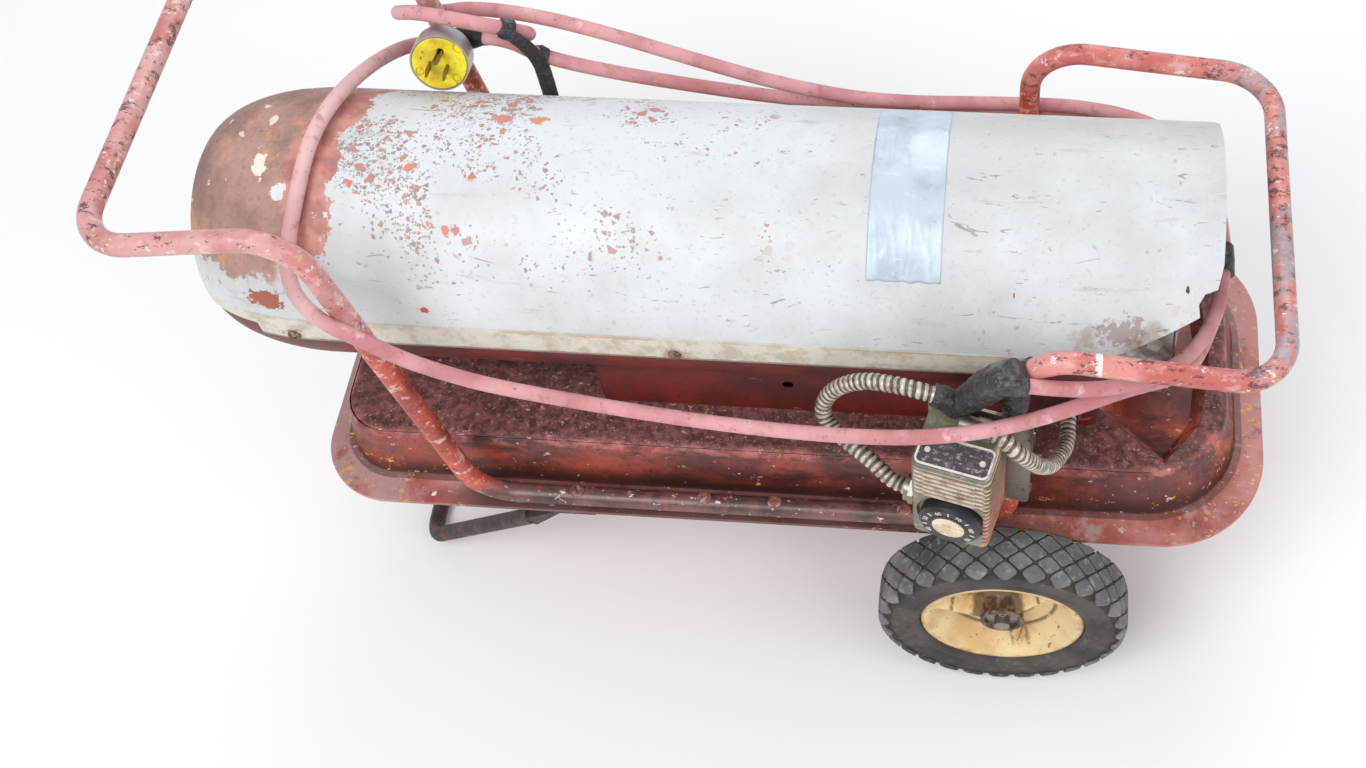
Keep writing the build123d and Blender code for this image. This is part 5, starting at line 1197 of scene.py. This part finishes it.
def hub_mesh(side):
    form = bmesh.new()
    rings = []
    for number in range(hub_steps):
        turn = 2 * math.pi * number / hub_steps
        ring = []
        for place, (radius, level) in enumerate(hub_outline):
            if floor_first <= place < floor_last:
                level = level + hub_rib(radius, level, turn)
            spot = Vector((radius * math.cos(turn), side * level, radius * math.sin(turn)))
            ring.append(form.verts.new(spot / 1000))
        rings.append(ring)
    for ring, after in zip(rings, rings[1:] + rings[:1]):
        for place in range(len(ring)):
            beside = (place + 1) % len(ring)
            form.faces.new((ring[place], ring[beside], after[beside], after[place]))
    return form


hub_paint = hub_finish()
paint_nodes(hub_paint, "hub_near", "hub_far")
for side, middle in wheels.items():
    form = hub_mesh(-1 if side == "near" else 1)
    bmesh.ops.translate(form, verts=form.verts, vec=middle)
    hub = finish_piece(form, side + "_hub", hub_paint, "wheel_" + side)
    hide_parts("hub_" + side)
    print(side, "hub", len(hub.data.polygons), "faces")

# %% [markdown]
# ## Thermostat
# The box is hammered olive enamel with louvres. Its ribs are rubbed back to a cream brown, and
# red from the tank was sprayed on one lower corner. The plate on top has a bright worn rim
# round a black field. The dial carries a cream disc and white marks.

# %% Thermostat finishes
box_right_way = Vector((0.9703, -0.2419, 0))
box_back_way = Vector((0.2419, 0.9703, 0))
leg_foot = Vector((0.2145, -0.1403, 0))
first_rib, rib_pitch = 0.3032, 0.0056


def clamp_spot(right_mm, back_mm, height_mm):
    """A place on the thermostat from millimetres right of the leg, behind it and above the floor."""
    level = leg_foot + box_right_way * (right_mm / 1000) + box_back_way * (back_mm / 1000)
    return level + Vector((0, 0, height_mm / 1000))


def rib_share(height):
    """How far up its own rib a height lies, from 0 to 1."""
    return ((height - first_rib) / rib_pitch).math("FRACT")


def box_finish():
    paint = Finish("hammered_olive_enamel", specular=0.55)
    z = paint.axis("Z")
    turned = paint.stretched(turn=(0, 0, math.radians(14)))
    across, depth = paint.axis("X", turned), paint.axis("Y", turned)
    olive = paint.worn(
        (132, 130, 104),
        ((104, 102, 80), 1, 0.4, 0.65, 30, 4, 0.6),
        ((176, 170, 152), 0.6, 0.52, 0.68, 90, 4, 0.7),
    )
    # the raised louvres at the front are rubbed to a cream brown, and the band between them is painted dark
    # as shade
    front_level = box_back_way.dot(clamp_spot(-27, -60.35, 300))
    front = depth.step(front_level + 0.0013, front_level + 0.0005)
    cream = paint.worn((218, 204, 184), ((182, 158, 138), 1, 0.44, 0.66, 110, 3))
    cream = paint.coat(rib_share(z).step(0.44, 0.52) * 0.85, cream, (104, 84, 68))
    ribs_zone = front * z.step(0.300, 0.3015) * z.step(0.3385, 0.337)
    colour = paint.coat(ribs_zone * 0.9, olive, cream)
    # the same louvres go round the right side, where the enamel has faded; the band between them is painted
    # dark as shade there too
    right_edge = box_right_way.dot(leg_foot)
    side = across.step(right_edge - 0.006, right_edge - 0.002)
    wavy = z + paint.cloud(60, 2, 0.5) * 0.0024
    faded = paint.coat(rib_share(wavy).step(0.44, 0.60), (212, 188, 166), (128, 104, 84))
    colour = paint.coat(side * z.step(0.262, 0.268) * 0.85, colour, faded)
    # red that was sprayed on the right side's lower corner, and grime all over
    spray = (z + paint.cloud(50, 4, 0.6) * 0.06).step(0.345, 0.30)
    red = paint.worn((216, 158, 142), ((196, 124, 108), 1, 0.42, 0.6, 80, 4, 0.6))
    colour = paint.coat(side * spray * 0.6, colour, red)
    colour = paint.worn(colour, ((66, 58, 46), 0.6, 0.56, 0.72, 60, 5, 0.7, even, (9, 1, 4)))
    return paint.done(colour, 0.42, paint.bump(paint.cells(420), 0.22, 0.0004))


def badge_finish():
    paint = Finish("black_plate_bright_rim", metallic=0.2)
    rim = paint.axis("Z").step(0.34245, 0.34265)
    field = paint.worn(
        (84, 78, 82),
        ((130, 124, 127), 1, 0.5, 0.7, 130, 4, 0.7),
        ((192, 186, 188), 0.75, 0.56, 0.62, 300, 4, 0.75, (0.7, 1, 1)),
    )
    bright = paint.worn((240, 238, 237), ((186, 180, 178), 1, 0.50, 0.70, 150, 4))
    return paint.done(paint.coat(rim, field, bright), paint.coat(rim, 0.5, 0.3))


paint_nodes(box_finish(), "thermo_box")
paint_nodes(badge_finish(), "thermo_badge")
paint_nodes(plain_finish("white_rivet", (226, 220, 212), 0.4), "badge_rivets")
paint_nodes(plain_finish("dial_black", (36, 38, 44), 0.34), "thermo_dial")
paint_nodes(rusty_finish("galvanised_plate", 0.35), "thermo_plate", "conduit_fittings")
print("thermostat finished")

# %% [markdown]
# ## Dial marks
# A room dial reads in tens of degrees. The marks are short white bars with plain numbers, made
# as text and then turned into meshes, because a mesh is what the part keeps. They ride on the
# dial's own body, so that they turn with the knob.

# %% Dial marks
dial_middle = clamp_spot(-27, -68.35, 279)
dial_frame = Matrix((box_right_way, Vector((0, 0, 1)), -box_back_way)).transposed().to_4x4()
dial_frame = Matrix.Translation(dial_middle) @ dial_frame
numbers = ("40", "50", "60", "70", "80", "90")
first_mark, number_gap = 125, 50


def mark_finish():
    paint = Finish("worn_white_print")
    return paint.done(paint.worn((226, 224, 218), ((120, 118, 114), 0.7, 0.56, 0.66, 420, 3, 0.7)), 0.5)


def disc_finish():
    paint = Finish("yellowed_disc")
    colour = paint.worn(
        (232, 220, 192),
        ((206, 186, 150), 1, 0.4, 0.66, 60, 3),
        ((168, 106, 68), 0.6, 0.50, 0.64, 190, 4, 0.7),
    )
    return paint.done(colour, 0.45)


def dial_place(degrees, out, ahead_of_face):
    """The place of a mark at an angle round the dial, at a distance from its middle."""
    turned = Matrix.Rotation(math.radians(degrees), 4, "Z")
    return dial_frame @ turned @ Matrix.Translation((0, out, ahead_of_face))


white_print = mark_finish()
for count, word in enumerate(numbers):
    text = bpy.data.curves.new("mark_" + word, "FONT")
    text.body = word
    text.size = 0.0052
    text.extrude = 0.00008
    text.align_x = "CENTER"
    text.align_y = "CENTER"
    letter = add_object("mark_" + word, text)
    mesh = bpy.data.meshes.new_from_object(letter)
    bpy.data.objects.remove(letter)
    mesh.transform(dial_place(first_mark - number_gap * count, 0.0176, 0.0001))
    mesh.materials.clear()
    mesh.materials.append(white_print)
    number = add_object("number_" + word, mesh)
    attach(number, "dial")

ticks = bmesh.new()
for count in range(len(numbers) - 1):
    made = bmesh.ops.create_cube(ticks, size=1.0)
    bmesh.ops.scale(ticks, vec=(0.0009, 0.0038, 0.0002), verts=made["verts"])
    place = dial_place(first_mark - number_gap * (count + 0.5), 0.0180, 0.0001)
    bmesh.ops.transform(ticks, matrix=place, verts=made["verts"])
finish_piece(ticks, "dial_ticks", white_print, "dial", smooth=False)

disc = bmesh.new()
bmesh.ops.create_circle(disc, cap_ends=True, segments=64, radius=0.0122)
raised = bmesh.ops.extrude_face_region(disc, geom=disc.faces[:])
moved = [one for one in raised["geom"] if isinstance(one, bmesh.types.BMVert)]
bmesh.ops.translate(disc, vec=(0, 0, 0.0005), verts=moved)
rim = [edge for edge in disc.edges if all(vertex in moved for vertex in edge.verts)]
bmesh.ops.bevel(disc, geom=rim, offset=0.0002, affect="EDGES", segments=2, profile=0.5, material=-1)
bmesh.ops.transform(disc, matrix=dial_place(0, 0, 0.0003), verts=disc.verts)
finish_piece(disc, "dial_disc", disc_finish(), "dial")
print("dial marks", len(numbers) + 2)

# %% [markdown]
# ## Plug
# The plug has a bright yellow nylon face in a bare metal sleeve. Its blades are brass that has
# gone brown, its cover is dark, and the face is stained in clouds from the dirt it lay in.

# %% Plug finishes
def plug_face_finish():
    paint = Finish("yellow_nylon", specular=0.45)
    grime = paint.cloud(160, 4, 0.75).step(0.58, 0.68)
    colour = paint.worn(
        (240, 224, 52),
        ((214, 190, 40), 1, 0.42, 0.66, 60, 4, 0.6),
        ((196, 132, 44), 0.75, 0.55, 0.70, 55, 5, 0.7, even, (2, 4, 8)),
    )
    colour = paint.coat(grime * 0.75, colour, (86, 68, 36))
    return paint.done(colour, 0.42, paint.bump(grime, 0.2, 0.0003))


paint_nodes(plug_face_finish(), "plug_face")
paint_nodes(plain_finish("browned_brass", (150, 112, 66), 0.4, 0.85, 300), "plug_blades")
paint_nodes(plain_finish("dull_sleeve_metal", (188, 186, 184), 0.38, 0.8, 140), "plug_sleeve")
paint_nodes(plain_finish("dark_plug_rubber", (36, 35, 36), 0.5, 0.0, 160), "plug_cover", "plug_gland")
print("plug finished")

# %% [markdown]
# ## Last measures
# The dressed model is meant to fill the same space as the frame, so both boxes are printed.

# %% Finish
finished = {name for name, piece in nodes.items() if any(slot.material for slot in piece.material_slots)}
print("nodes without a finish", sorted(set(nodes) - finished))
dressed_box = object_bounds()
boxes = {"cad": [list(corner) for corner in cad_box], "visual": [list(corner) for corner in dressed_box]}
for name, box in boxes.items():
    print(name, "box", [[round(value, 4) for value in corner] for corner in box])
